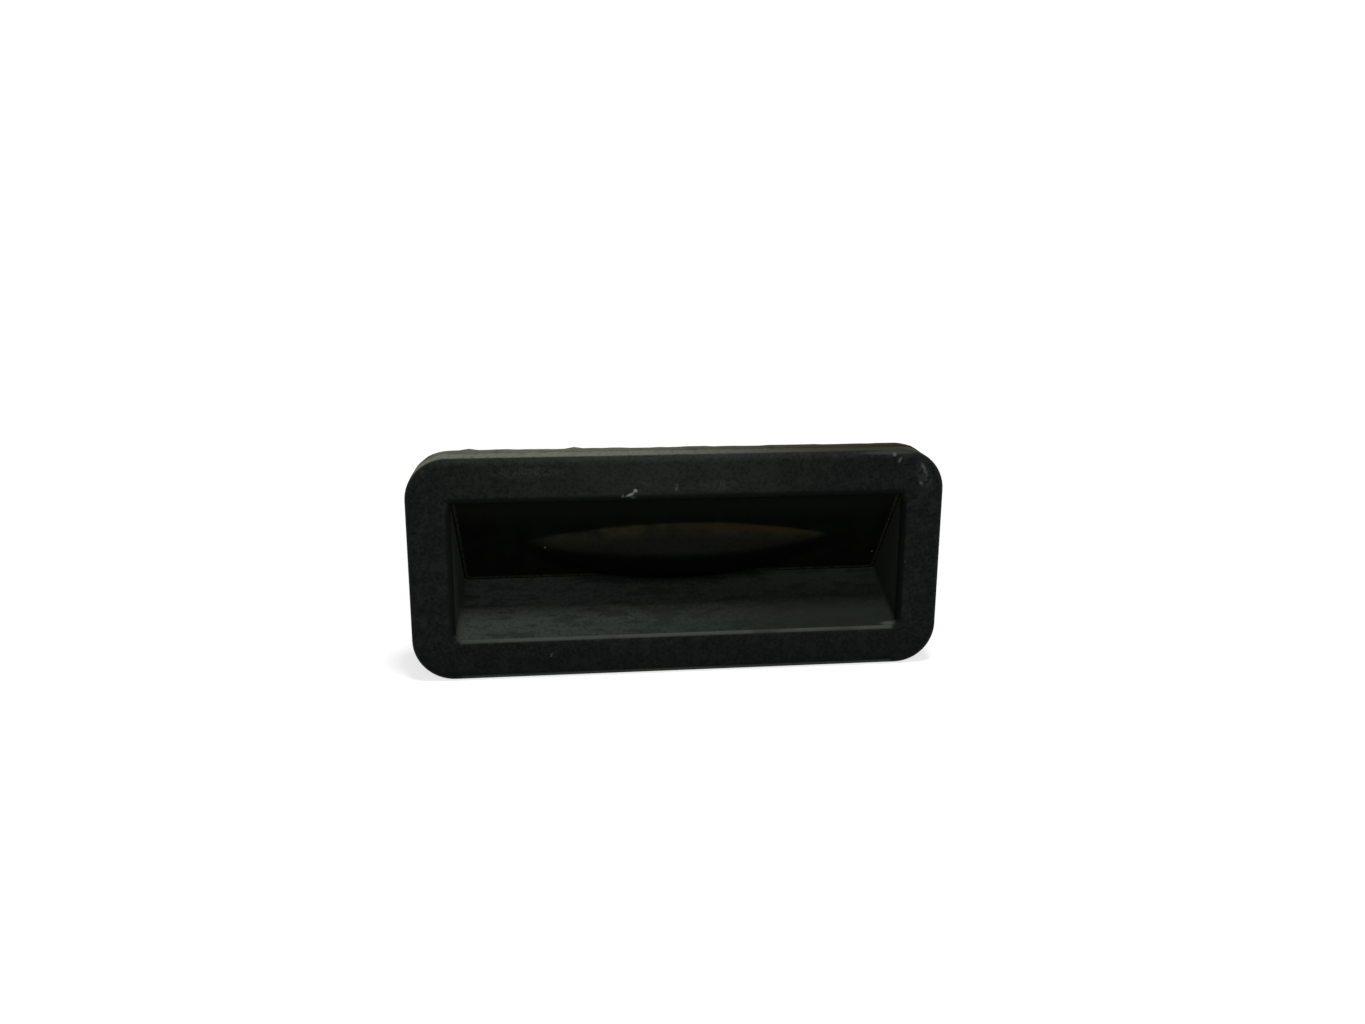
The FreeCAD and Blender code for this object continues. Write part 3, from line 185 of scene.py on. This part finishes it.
def bezel_finish():
    """Grained black plastic: dust in the pocket, paler above, scuffed and silted, with painted shade and
    highlights at the mouth.
    """
    black, worn, mottle = (0.0042, 0.0054, 0.0048), (0.0110, 0.0134, 0.0118), (0.0165, 0.0198, 0.0172)
    pale_above, shade_and_highlight, left_edge_shade = (0.0192, 0.0226, 0.0178), (0.0018, 0.0024, 0.0020), (0.0044, 0.0051, 0.0045)
    dust, thick_dust, darker_front_right = (0.0088, 0.0112, 0.0092), (0.0176, 0.0214, 0.0180), (0.0106, 0.0135, 0.0112)
    paler_left, paler_back_right = (0.0295, 0.0360, 0.0314), (0.0250, 0.0310, 0.0252)
    right_wall, left_wall = (0.0180, 0.0205, 0.0165), (0.0235, 0.0265, 0.0228)
    edge_highlight, silt, pale_top_left = (0.046, 0.053, 0.046), (0.0080, 0.0072, 0.0024), (0.112, 0.116, 0.088)
    scratch, scuff, smear = (0.22, 0.25, 0.24), (0.070, 0.082, 0.076), (0.026, 0.031, 0.028)
    material, tree, shader, where = finish_of("bezel_plastic", rough=0.62, gloss=0.03)
    across = along(tree, where, (1, 0, 0))
    depth = along(tree, where, (0, 1, 0))
    height = along(tree, where, (0, 0, 1))
    cloud = fade(tree, blotches(tree, where, 8.0, 4.0), 0.3, 0.7)
    speckle = fade(tree, blotches(tree, where, 0.55, 6.0), 0.28, 0.72)
    grain = blotches(tree, where, 0.35, 2.0)
    drawn_out = add(tree, "ShaderNodeVectorMath", {0: where, 1: (0.3, 1.0, 1.0)}, operation="MULTIPLY")
    wiped = blotches(tree, drawn_out.outputs["Vector"], 1.3, 5.0)

    # The plastic is finely mottled. Its front is darker below and paler above, most in the middle.
    colour = coat(tree, speckle, black, worn)
    colour = coat(tree, fade(tree, blotches(tree, where, 2.2, 5.0), 0.46, 0.68, 0.5), colour, mottle)
    colour = coat(tree, fade(tree, height, -11.0, -18.0, 0.4), colour, shade_and_highlight)
    on_flange = fade(tree, depth, 0.3, -0.3)
    upper_middle = product(tree, on_flange, fade(tree, height, 4.0, 13.0), fade(tree, across, 32.0, 2.0),
                   fade(tree, across, -50.0, -5.0), fade(tree, cloud, -1.0, 1.0),
                   fade(tree, speckle, -0.8, 0.9))
    colour = coat(tree, upper_middle, colour, pale_above)

    # Dust lies on the pocket's floor, wiped in streaks along the pocket. The floor is paler towards
    # the left and at the back on the right, and darker in front at the right.
    on_floor = product(tree, between(tree, across, -38.0, 38.0, 0.4), between(tree, height, -12.4, -4.8, 0.8),
                       fade(tree, depth, -6.9, -6.3))
    colour = coat(tree, on_floor, colour, dust)
    colour = coat(tree, product(tree, on_floor, speckle), colour, thick_dust)
    colour = coat(tree, product(tree, on_floor, fade(tree, across, 30.0, -40.0),
                                fade(tree, speckle, -0.6, 0.7)), colour, paler_left)
    in_front = product(tree, fade(tree, depth, 1.0, -4.0), fade(tree, across, -5.0, 32.0))
    colour = coat(tree, product(tree, on_floor, in_front), colour, darker_front_right)
    at_back = product(tree, fade(tree, depth, -1.0, 3.5), fade(tree, across, -8.0, 30.0))
    colour = coat(tree, product(tree, on_floor, at_back, fade(tree, speckle, -0.9, 0.5)), colour, paler_back_right)
    colour = coat(tree, product(tree, on_floor, fade(tree, wiped, 0.52, 0.36, 0.6)), colour, dust)

    # The round edges of the pocket's mouth are painted dark as shade, and its side walls are paler, the left
    # one most.
    shaded_lip = product(tree, fade(tree, depth, -5.0, -6.0), between(tree, height, 11.2, 11.9, 0.9),
                  between(tree, across, -37.0, 37.0, 1.5), fade(tree, speckle, -1.0, 1.0))
    colour = coat(tree, shaded_lip, colour, shade_and_highlight)
    for side, wall, low, edge_shade in ((1.0, right_wall, -6.5, shade_and_highlight), (-1.0, left_wall, -10.0, left_edge_shade)):
        outward = along(tree, where, (side, 0, 0))
        on_wall = product(tree, fade(tree, depth, -6.2, -5.6), between(tree, height, low, 9.0, 3.5),
                          between(tree, outward, 36.8, 38.4, 0.5))
        colour = coat(tree, on_wall, colour, wall)
        # Painted shade on the round side edge of the mouth.
        edge = product(tree, fade(tree, depth, -5.6, -6.1), between(tree, outward, 37.4, 38.3, 0.5),
                       between(tree, height, -10.6, 10.0, 1.4))
        colour = coat(tree, edge, colour, edge_shade)

    # A painted highlight runs along the round front edge of the floor.
    edge_glint = product(tree, between(tree, depth, -6.85, -6.6, 0.12), fade(tree, height, -11.0, -11.5),
                        between(tree, across, -36.5, 36.5, 1.0), fade(tree, cloud, -0.6, 0.5))
    colour = coat(tree, edge_glint, colour, edge_highlight)

    # Silt lies on the upper side of the flange, which is paler towards the left.
    on_top = product(tree, on_flange, fade(tree, depth, -6.35, -5.8), fade(tree, height, 13.0, 17.0))
    colour = coat(tree, on_top, colour, silt)
    colour = coat(tree, product(tree, on_top, fade(tree, across, 31.0, -16.0),
                                fade(tree, speckle, -0.5, 0.6)), colour, pale_top_left)

    # Soft smears, scuffs and scratches, and one painted highlight, broken up into streaks: each mark's
    # place, half sizes, turn in degrees, sparseness and tone
    marks = (
        ((41.3, -6.6, 14.6), (1.7, 1.8, 3.6), -22.0, 0.36, smear),
        ((-25.5, -6.8, 16.6), (8.5, 1.8, 1.3), 0.0, 0.42, smear),
        ((5.5, -6.8, 13.8), (6.0, 1.8, 1.4), 0.0, 0.44, smear),
        ((-6.0, -6.9, 14.3), (1.2, 1.5, 0.45), 20.0, 0.34, smear),
        ((35.5, -6.5, 18.7), (7.0, 1.0, 0.40), 0.0, 0.20, smear),
        ((-8.3, -7.0, 12.6), (1.35, 1.5, 0.33), -24.0, 0.34, scratch),
        ((-7.6, -7.0, 13.2), (0.45, 1.5, 0.38), 0.0, 0.20, scratch),
        ((-7.9, -6.8, 12.0), (1.1, 1.5, 0.35), 0.0, 0.42, scuff),
        ((-9.7, -6.9, 12.3), (0.35, 1.5, 0.40), 0.0, 0.25, scuff),
        ((-0.8, -7.0, 13.6), (0.35, 1.5, 0.80), 10.0, 0.30, scuff),
        ((36.9, -6.8, 17.5), (0.75, 1.2, 0.33), -60.0, 0.22, scuff),
        ((36.0, -6.6, 18.4), (0.45, 1.2, 0.45), 0.0, 0.15, scuff),
        ((41.2, -6.6, 15.9), (0.45, 1.2, 1.70), -27.0, 0.34, scuff),
        ((40.8, -6.7, 13.5), (0.50, 1.2, 0.50), 0.0, 0.40, scuff),
        ((38.7, -7.0, -0.4), (0.3, 1.5, 0.25), 0.0, 0.45, scuff),
        ((-22.0, -7.0, -14.9), (0.3, 1.5, 0.70), 20.0, 0.50, scuff),
        # Painted highlight at the right end of the floor's front edge
        ((36.4, -6.3, -11.5), (1.8, 0.7, 0.70), 0.0, 0.22, edge_highlight),
    )
    streaky = blotches(tree, where, 0.45, 5.0)
    mark_soft = 0.2
    for spot, half_sizes, turn, sparse, tone in marks:
        mark = product(tree, near_spot(tree, where, spot, half_sizes, turn),
                       fade(tree, streaky, sparse, sparse + mark_soft))
        colour = coat(tree, mark, colour, tone)
    tree.links.new(colour, shader.inputs["Base Color"])
    relief(tree, shader, grain, 0.03)
    return material


def membrane_finish():
    """Soft black rubber: its pad bloomed grey and painted lit above and painted shaded below, rusty in the
    crease, with painted highlights on the bead and by the upper crease, and a few specks.
    """
    black, grey = (0.0016, 0.0023, 0.0015), (0.0034, 0.0046, 0.0032)
    bloom_and_painted_light, crease_highlight, rust = (0.0108, 0.0118, 0.0088), (0.0265, 0.0268, 0.0145), (0.0250, 0.0185, 0.0072)
    belly, upper = (0.0006, 0.0009, 0.0006), (0.0050, 0.0060, 0.0043)
    shade_and_highlight, speck = (0.026, 0.028, 0.021), (0.10, 0.11, 0.09)
    material, tree, shader, where = finish_of("membrane_rubber", rough=0.7, gloss=0.01)
    up = along(tree, where, UP, FOOT)
    out = along(tree, where, OUT, FOOT)
    across = along(tree, where, (1, 0, 0))
    fine = blotches(tree, where, 0.6, 5.0)
    patches = blotches(tree, where, 4.0, 4.0)
    colour = coat(tree, fade(tree, patches, 0.35, 0.7), black, grey)
    colour = coat(tree, fade(tree, up, 12.5, 17.5), colour, upper)
    on_pad = product(tree, fade(tree, out, 0.1, 0.6), fade(tree, across, -29.0, -20.0),
                     fade(tree, across, 28.0, 22.0))
    # Painted shade: the pad's underside is painted near black.
    colour = coat(tree, product(tree, on_pad, fade(tree, up, 9.8, 8.6)), colour, belly)
    # Grey bloom on the pad's upper face, with painted light there as well.
    above = product(tree, on_pad, fade(tree, up, 9.2, 11.3))
    colour = coat(tree, product(tree, above, fade(tree, fine, -0.1, 0.6)), colour, bloom_and_painted_light)
    # A painted highlight by the pad's upper crease.
    near_crease = product(tree, above, fade(tree, out, 2.6, 0.5), fade(tree, across, -26.0, -14.0))
    colour = coat(tree, product(tree, near_crease, fade(tree, patches, 0.3, 0.6)), colour, crease_highlight)
    crease = product(tree, on_pad, between(tree, out, 0.25, 0.85, 0.6), fade(tree, across, -8.0, 10.0),
                     fade(tree, up, 10.0, 11.5))
    colour = coat(tree, crease, colour, rust)
    # A painted highlight along the bead round the window.
    bead = add(tree, "ShaderNodeAttribute", attribute_name="bead").outputs["Fac"]
    colour = coat(tree, product(tree, bead, fade(tree, fine, 0.2, 0.6)), colour, shade_and_highlight)
    speck_half_sizes = (0.28, 0.6, 0.25)
    for spot in ((-22.6, -1.7, 2.4), (35.6, 2.5, -1.1)):
        colour = coat(tree, near_spot(tree, where, spot, speck_half_sizes), colour, speck)
    tree.links.new(colour, shader.inputs["Base Color"])
    relief(tree, shader, blotches(tree, where, 0.4), 0.02)
    return material


def foam_finish():
    """Closed-cell foam, olive grey, lighter towards the left."""
    foam, paler_foam = (0.022, 0.0205, 0.0110), (0.105, 0.106, 0.080)
    material, tree, shader, where = finish_of("gasket_foam", rough=0.9, gloss=0.05)
    cloud = blotches(tree, where, 3.0, 5.0)
    mask = product(tree, fade(tree, cloud, 0.1, 0.55),
                   fade(tree, along(tree, where, (1, 0, 0)), 38.0, -26.0))
    tree.links.new(coat(tree, mask, foam, paler_foam), shader.inputs["Base Color"])
    relief(tree, shader, cells(tree, where, 0.35), 0.12)
    return material


def board_finish():
    """Coated laminate: green lacquer, paler and raised over faint copper runs."""
    lacquer, over_copper = (0.012, 0.075, 0.030), (0.030, 0.120, 0.050)
    run_mm = 3.2
    material, tree, shader, where = finish_of("board_laminate", rough=0.35, gloss=0.4)
    runs = add(tree, "ShaderNodeTexWave", {"Vector": where, "Scale": 1 / (run_mm * MM), "Distortion": 1.5},
               bands_direction="X").outputs["Fac"]
    colour = coat(tree, fade(tree, runs, 0.72, 0.8), lacquer, over_copper)
    tree.links.new(colour, shader.inputs["Base Color"])
    relief(tree, shader, runs, 0.03)
    return material


# Surfaces

def shell(name, loops, material, ring=False, marked=None):
    """A closed skin over loops of points: loops[i, j] is point j of the profile at station i.

    Neighbouring loops are joined by four-sided faces. A ring joins its last loop to its first,
    and any other shell is closed by a strip across its first and last loops, from point j to the
    point as far from the loop's end. The faces are turned round if the volume comes out negative.
    A mark is a name and a number for each point, for the material.
    """
    stations, count = loops.shape[:2]
    numbers = np.arange(stations * count).reshape(stations, count)
    around = np.concatenate([numbers, numbers[:, :1]], axis=1)
    if ring:
        around = np.concatenate([around, around[:1]], axis=0)
    faces = np.stack([around[:-1, :-1], around[1:, :-1], around[1:, 1:], around[:-1, 1:]], axis=-1)
    faces = faces.reshape(-1, 4)
    if not ring:
        near = np.arange(count // 2 - 1)
        far = count - 1 - near
        strip = np.stack([near, near + 1, far - 1, far], axis=-1)
        faces = np.concatenate([faces, strip, strip[:, ::-1] + (stations - 1) * count])
    points = loops.reshape(-1, 3) * MM
    a, b, c, d = (points[faces[:, corner]] for corner in range(4))
    volume = (np.einsum("ij,ij->i", a, np.cross(b, c)) + np.einsum("ij,ij->i", a, np.cross(c, d))).sum()
    if volume < 0:
        faces = faces[:, ::-1]
    mesh = bpy.data.meshes.new(name)
    mesh.from_pydata(points.tolist(), [], faces.tolist())
    mesh.polygons.foreach_set("use_smooth", np.ones(len(faces), bool))
    mesh.materials.append(material)
    if marked:
        mark, amounts = marked
        mesh.attributes.new(mark, "FLOAT", "POINT").data.foreach_set("value", amounts.ravel())
    made = bpy.data.objects.new(name, mesh)
    bpy.context.scene.collection.objects.link(made)
    return made


def softened(values, times):
    """Each inner value of every row becomes the weighted mean of itself and its neighbours."""
    for _ in range(times):
        inner = (values[:, :-2] + 2 * values[:, 1:-1] + values[:, 2:]) / 4
        values = np.concatenate([values[:, :1], inner, values[:, -1:]], axis=1)
    return values


def membrane_sheet(material):
    """Rubber sheet with the lens-shaped pad on its face and a low bead round its window.

    At a share s of the pad's half length the fullness is 1 - s squared. Above the ridge the pad's
    foot stands off in proportion to the fullness, and below it to the fullness's square root. The
    rise is the full height times the fullness to a power. The belly goes from the lower foot to
    the ridge as a quarter of a swollen ellipse, and a straight face goes down from the ridge to
    the upper foot. The bead is a bell curve of the distance inside the window's edge, which is a
    soft minimum of the distances from its lower edge and from its nearer side. The back is the
    same profile, one wall further in.
    """
    half_sheet, half_middle, low_end, high_end = 38.85, 35.4, -1.75, 19.4
    half_pad, ridge_up, above, below = 27.0, 10.19, 3.7, 9.19
    height, taper, swell, least = 4.4, 0.85, 0.62, 0.03
    wall, sunk = 1.15, 0.01
    least_wall = 0.3 * wall
    window_low, window_high, window_length = 36.76, 37.73, 19.49
    bead_inset, bead_width, bead_height, corner_sharpness = 0.45, 0.20, 0.22, 3.5
    side_points, middle_points, flat_points, belly_points, face_points = 30, 151, 49, 33, 21
    soft_rounds = 4

    side = np.linspace(half_middle, half_sheet, side_points)
    middle = half_middle * np.sin(np.linspace(-1, 1, middle_points) * math.pi / 2)
    x = np.concatenate([-side[:0:-1], middle, side[1:]])[:, None]
    fullness = np.clip(1 - (x / half_pad) ** 2, 0, 1)
    spread = np.maximum(fullness, least)
    low_foot = ridge_up - below * np.sqrt(spread)
    top_foot = ridge_up + above * spread
    rise = height * fullness ** taper

    step = np.linspace(0, 1, flat_points)[None, :]
    quarter = np.linspace(0, 1, belly_points)[None, 1:] * math.pi / 2
    climb = np.linspace(0, 1, face_points)[None, 1:]
    up = np.concatenate([
        low_end + (low_foot - low_end) * step,
        ridge_up - (ridge_up - low_foot) * np.cos(quarter),
        ridge_up + (top_foot - ridge_up) * climb,
        top_foot + (high_end - top_foot) * climb,
    ], axis=1)
    out = np.concatenate([
        np.zeros_like(low_foot * step),
        rise * np.sin(quarter) ** swell,
        rise * (1 - climb),
        np.zeros_like(low_foot * climb),
    ], axis=1)
    up, out = softened(up, soft_rounds), softened(out, soft_rounds)
    window_x = window_low + (window_high - window_low) * up / window_length
    from_side = np.exp(-corner_sharpness * np.clip(window_x - np.abs(x), -4, 40))
    from_edge = np.exp(-corner_sharpness * np.clip(up, -4, 40))
    inset = -np.log(from_side + from_edge) / corner_sharpness
    bead = np.exp(-((inset - bead_inset) / bead_width) ** 2)
    out = out + bead_height * bead

    slope_up, slope_out = np.gradient(up, axis=1), np.gradient(out, axis=1)
    length = np.hypot(slope_up, slope_out) + 1e-9
    back_up = up + wall * slope_out / length
    back_out = np.minimum(out - wall * slope_up / length, out - least_wall)
    back_up[:, (0, -1)] = up[:, (0, -1)]

    loop_up = np.concatenate([up, back_up[:, ::-1]], axis=1)[..., None]
    loop_out = np.concatenate([out - sunk, back_out[:, ::-1]], axis=1)[..., None]
    loops = FOOT + UP * loop_up + OUT * loop_out
    loops[..., 0] = x
    marks = np.concatenate([bead, np.zeros_like(bead)], axis=1)
    return shell("rubber_membrane", loops, material, marked=("bead", marks))


def rounded_outline(width, height, radius):
    """Points round a rectangle with round corners: a quarter circle, then an even straight run."""
    arc_points, run_points = 13, 49
    turn = np.linspace(0, math.pi / 2, arc_points)
    arcs = []
    for index, (side, level) in enumerate(((1, 1), (-1, 1), (-1, -1), (1, -1))):
        centre = np.array([side * (width / 2 - radius), level * (height / 2 - radius)])
        angle = turn + index * math.pi / 2
        arcs.append(centre + radius * np.stack([np.cos(angle), np.sin(angle)], axis=-1))
    share = np.linspace(0, 1, run_points)[1:-1, None]
    runs = [arcs[index][-1] * (1 - share) + arcs[(index + 1) % 4][0] * share for index in range(4)]
    return np.concatenate([part for pair in zip(arcs, runs) for part in pair])


def soft_ring(name, material, inner, outer, front, back, ripple, proud=0.0, nubs=()):
    """A flat ring with soft edges between two outlines.

    Across the ring the profile is a rounded rectangle: a share of the way from the inner outline
    to the outer one, and a share of the depth, both following a rounded square. The outer edge
    moves in and out by a sum of three sines of the place along it. On its upper run it stands
    proud, and has a small bump at each nub.
    """
    profile_points, squareness = 24, 0.82
    waves = ((23, 1.0, 0.0), (57, 0.7, 1.1), (101, 0.5, 2.3))
    upper_begin, upper_soft = 0.2, 0.3
    turn = np.linspace(0, 2 * math.pi, profile_points, endpoint=False)
    square = np.maximum(np.abs(np.cos(turn)), np.abs(np.sin(turn))) ** squareness
    share = 0.5 + 0.5 * np.cos(turn) / square
    level = 0.5 + 0.5 * np.sin(turn) / square
    inner_path, outer_path = rounded_outline(*inner), rounded_outline(*outer)
    place = np.linspace(0, 2 * math.pi, len(outer_path), endpoint=False)
    wave = sum(tall * np.sin(number * place + shift) for number, tall, shift in waves)
    outward = outer_path / np.linalg.norm(outer_path, axis=1, keepdims=True)
    outer_path = outer_path + outward * (ripple * (wave - 1.0))[:, None]
    flat = inner_path[:, None, :] * (1 - share)[None, :, None] + outer_path[:, None, :] * share[None, :, None]
    depth = np.broadcast_to(back + (front - back) * level[None, :], flat.shape[:2])
    loops = np.stack([flat[..., 0], depth, flat[..., 1]], axis=-1)
    lift = proud + sum(nub_height * np.exp(-((loops[..., 0] - nub_x) / nub_width) ** 2)
                       for nub_x, nub_height, nub_width in nubs)
    upper = np.clip(loops[..., 2] / inner[1] - upper_begin, 0.0, upper_soft) / upper_soft
    loops[..., 2] += lift * upper * np.clip(share - 0.5, 0.0, 0.5)[None, :] * 2
    return shell(name, loops, material, ring=True)


def round_wire(name, path, radius, material):
    """Round wire along a path of points across, up and out.

    At each point of the path a circle of the wire's radius stands square to it. The circle's
    first axis is the way across, less its share along the path, and its second is square to both.
    """
    rim_points = 12
    ahead = np.gradient(path, axis=0)
    ahead = ahead / np.linalg.norm(ahead, axis=1, keepdims=True)
    first = np.array([1.0, 0.0, 0.0]) - ahead[:, :1] * ahead
    first = first / np.linalg.norm(first, axis=1, keepdims=True)
    second = np.cross(ahead, first)
    turn = np.linspace(0, 2 * math.pi, rim_points, endpoint=False)[None, :, None]
    rim = path[:, None] + radius * (np.cos(turn) * first[:, None] + np.sin(turn) * second[:, None])
    loops = FOOT + UP * rim[..., 1:2] + OUT * rim[..., 2:3]
    loops[..., 0] = rim[..., 0]
    return shell(name, loops, material)


def return_spring(side, hand, material):
    """Close turns round the hinge pin with one leg on the tub's floor, and a leg behind the paddle.

    At an angle the coil's point is the radius times the sine above the hinge and the radius times
    the cosine behind it, and it has gone the pitch across for each whole turn. Its second leg goes
    with the paddle.
    """
    wire, radius, pitch, turns, leg = 0.225, 1.225, 0.55, 2, 7.0
    middle, hinge_up, hinge_out, paddle_back = 16.0, 15.089, -2.95, -2.9
    turn_points, leg_points = 24, 9
    begin, length = hand * middle - pitch * turns / 2, pitch * turns
    angle = np.linspace(0, 2 * math.pi * turns, turn_points * turns + 1)[:, None]
    coil = np.concatenate([begin + pitch * angle / (2 * math.pi), hinge_up + radius * np.sin(angle),
                           hinge_out - radius * np.cos(angle)], axis=1)
    still_leg = coil[0] - np.linspace(1, 0, leg_points)[:-1, None] * np.array([0.0, leg, 0.0])
    rise = paddle_back - wire - coil[-1, 2]
    run = np.array([0.0, -math.sqrt(leg ** 2 - rise ** 2), rise])
    moving_leg = coil[-1] + np.linspace(0, 1, leg_points)[:, None] * run
    wound = round_wire(f"{side}_spring_coil", np.concatenate([still_leg, coil]), wire, material)
    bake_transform(wound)
    tail = round_wire(f"{side}_spring_leg", moving_leg, wire, material)
    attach(tail, "paddle")
    for part in (wound, tail):
        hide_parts(f"return_spring_{side}")


# The pieces

# A moulding's tone, its paler patches' tone, its roughness and its gloss; the cover is also given
# the sizes of its patches and its grain, and the grain's depth.
mouldings = {
    "seal_rubber": ((0.012, 0.012, 0.012), (0.02, 0.02, 0.02), 0.55, 0.3),
    "carrier_plastic": ((0.022, 0.022, 0.022), (0.03, 0.03, 0.03), 0.55, 0.3),
    "paddle_plastic": ((0.52, 0.50, 0.45), (0.60, 0.58, 0.53), 0.5, 0.4),
    "switch_plastic": ((0.045, 0.030, 0.020), (0.06, 0.045, 0.03), 0.5, 0.4),
    "plunger_plastic": ((0.40, 0.045, 0.03), (0.46, 0.06, 0.04), 0.35, 0.5),
    "cover_plastic": ((0.014, 0.015, 0.0145), (0.021, 0.022, 0.021), 0.55, 0.25, 12.0, 0.35, 0.02),
}
# A metal's tone, its dull patches' tone, its roughness and the size of its grain
metals = {
    "pin_steel": ((0.56, 0.56, 0.57), (0.42, 0.42, 0.43), 0.25, 0.2),
    "spring_steel": ((0.46, 0.46, 0.48), (0.33, 0.33, 0.34), 0.3, 0.2),
    "screw_steel": ((0.60, 0.60, 0.58), (0.45, 0.45, 0.42), 0.35, 0.3),
    "contact_metal": ((0.66, 0.60, 0.42), (0.50, 0.43, 0.28), 0.3, 0.25),
}
finishes = {
    "bezel_plastic": bezel_finish(),
    "membrane_rubber": membrane_finish(),
    "gasket_foam": foam_finish(),
    "board_laminate": board_finish(),
}
for slot, look in mouldings.items():
    finishes[slot] = plain_moulding(slot, *look)
for slot, look in metals.items():
    finishes[slot] = metal_finish(slot, *look)
for part in frame["record"]["subparts"]:
    mesh = frame["nodes"][part["node"]].data
    mesh.materials.clear()
    mesh.materials.append(finishes[part["material_slot"]])

membrane = membrane_sheet(finishes["membrane_rubber"])
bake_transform(membrane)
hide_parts("button_membrane")

# Each outline's width, height and corner radius; each nub's place across, height and width
gasket = soft_ring("foam_gasket", finishes["gasket_foam"], inner=(82.8, 32.0, 3.9),
                   outer=(89.5, 37.5, 6.75), front=-2.5, back=0.0, ripple=0.05, proud=0.5,
                   nubs=((-35.0, 0.35, 0.6), (-29.2, 0.2, 0.6), (-17.6, 0.25, 0.8)))
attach(gasket, "housing")
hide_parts("flange_gasket")

seal = soft_ring("seal_ring", finishes["seal_rubber"], inner=(79.0, 25.8, 1.5), outer=(81.4, 28.2, 3.2),
                 front=19.45, back=20.25, ripple=0.01)
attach(seal, "housing")
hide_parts("cover_seal")

for side, hand in (("left", -1), ("right", 1)):
    return_spring(side, hand, finishes["spring_steel"])


# Stage, lamps and camera

# The height of the flange's lower edge, on which the part stands, in millimetres
FLOOR_Z = -19.0


def seen_straight(tree, otherwise, seen):
    """One strength for rays from the camera and from glossy and clear surfaces, one for the rest."""
    rays = add(tree, "ShaderNodeLightPath")
    either = add(tree, "ShaderNodeMath", operation="MAXIMUM")
    tree.links.new(rays.outputs["Is Camera Ray"], either.inputs[0])
    tree.links.new(rays.outputs["Is Glossy Ray"], either.inputs[1])
    any_of = add(tree, "ShaderNodeMath", operation="MAXIMUM")
    tree.links.new(either.outputs["Value"], any_of.inputs[0])
    tree.links.new(rays.outputs["Is Transmission Ray"], any_of.inputs[1])
    return add(tree, "ShaderNodeMapRange",
               {"Value": any_of.outputs["Value"], "To Min": otherwise, "To Max": seen}).outputs["Result"]


def studio_sweep():
    """Floor and backdrop in one: flat, then a quarter circle, then upright, carried along X.

    It glows white where it is seen, a little less near the object, so that its shadow shows.
    """
    near_edge, reach, bend, top, half_width, wall = -2500.0, 900.0, 300.0, 1400.0, 3000.0, 5.0
    turn = np.linspace(0, math.pi / 2, 25)
    depth = np.concatenate([[near_edge], reach + bend * np.sin(turn), [reach + bend]])
    height = np.concatenate([[0.0], bend - bend * np.cos(turn), [top]])
    x = np.array([-half_width, half_width])[:, None]
    front = np.stack([x + 0 * depth, depth + 0 * x, FLOOR_Z + height + 0 * x], axis=-1)
    behind = front[:, ::-1] + np.array([0.0, wall, -wall])
    white, tree, shader, where = finish_of("sweep_white", rough=0.85, gloss=0.1)
    shade = fade(tree, blotches(tree, where, 400.0), 0.2, 0.9)
    tree.links.new(coat(tree, shade, (0.34, 0.34, 0.34), (0.32, 0.32, 0.32)), shader.inputs["Base Color"])
    away = add(tree, "ShaderNodeVectorMath", {"Vector": where}, operation="LENGTH").outputs["Value"]
    glow = add(tree, "ShaderNodeMapRange", {"Value": away, "From Min": 0.10, "From Max": 0.45,
                                            "To Min": 0.72, "To Max": 1.0}).outputs["Result"]
    shader.inputs["Emission Color"].default_value = (1.0, 1.0, 1.0, 1.0)
    tree.links.new(product(tree, seen_straight(tree, 0.0, 1.0), glow), shader.inputs["Emission Strength"])
    return shell("studio_sweep", np.concatenate([front, behind], axis=1), white)


def soft_lamp(name, place, size, power):
    """A square lamp at a place, in metres, turned to the middle of the object."""
    light = bpy.data.lights.new(name, "AREA")
    light.size = size
    light.energy = power
    lamp = bpy.data.objects.new(name, light)
    lamp.location = place
    lamp.rotation_euler = (-Vector(place)).to_track_quat("-Z", "Y").to_euler()
    bpy.context.scene.collection.objects.link(lamp)


def plain_surroundings():
    """White where it is seen, and a weaker even light on everything else."""
    even_light = 0.10
    world = bpy.data.worlds.new("surroundings")
    bpy.context.scene.world = world
    world.use_nodes = True
    tree = world.node_tree
    background = tree.nodes["Background"]
    background.inputs["Color"].default_value = (1.0, 1.0, 1.0, 1.0)
    tree.links.new(seen_straight(tree, even_light, 1.0), background.inputs["Strength"])


def photo_camera():
    """The camera of the photograph: fitted place, turn, tip, roll and focal length in pixels."""
    place = Vector((-21.74, -190.63, 55.95)) * MM
    tip, turn, roll = 14.13, 6.81, 0.29
    sensor_mm, frame_width, focal_length = 36.0, 1365.0, 1150.0
    view = bpy.data.cameras.new("photo_camera")
    view.sensor_width = sensor_mm
    view.lens = sensor_mm * focal_length / frame_width
    view.clip_start, view.clip_end = 0.005, 20.0
    camera = bpy.data.objects.new("photo_camera", view)
    camera.matrix_world = (Matrix.Translation(place) @ Matrix.Rotation(math.radians(-turn), 4, "Z")
                           @ Matrix.Rotation(math.radians(90 - tip), 4, "X")
                           @ Matrix.Rotation(math.radians(roll), 4, "Z"))
    bpy.context.scene.collection.objects.link(camera)
    bpy.context.scene.camera = camera


studio_sweep()
soft_lamp("high_lamp", (0.03, -0.122, 0.50), size=0.075, power=2.0)
soft_lamp("front_lamp", (-0.05, -0.68, 0.39), size=0.45, power=1.8)
plain_surroundings()
photo_camera()
bpy.context.scene.view_settings.view_transform = "Standard"
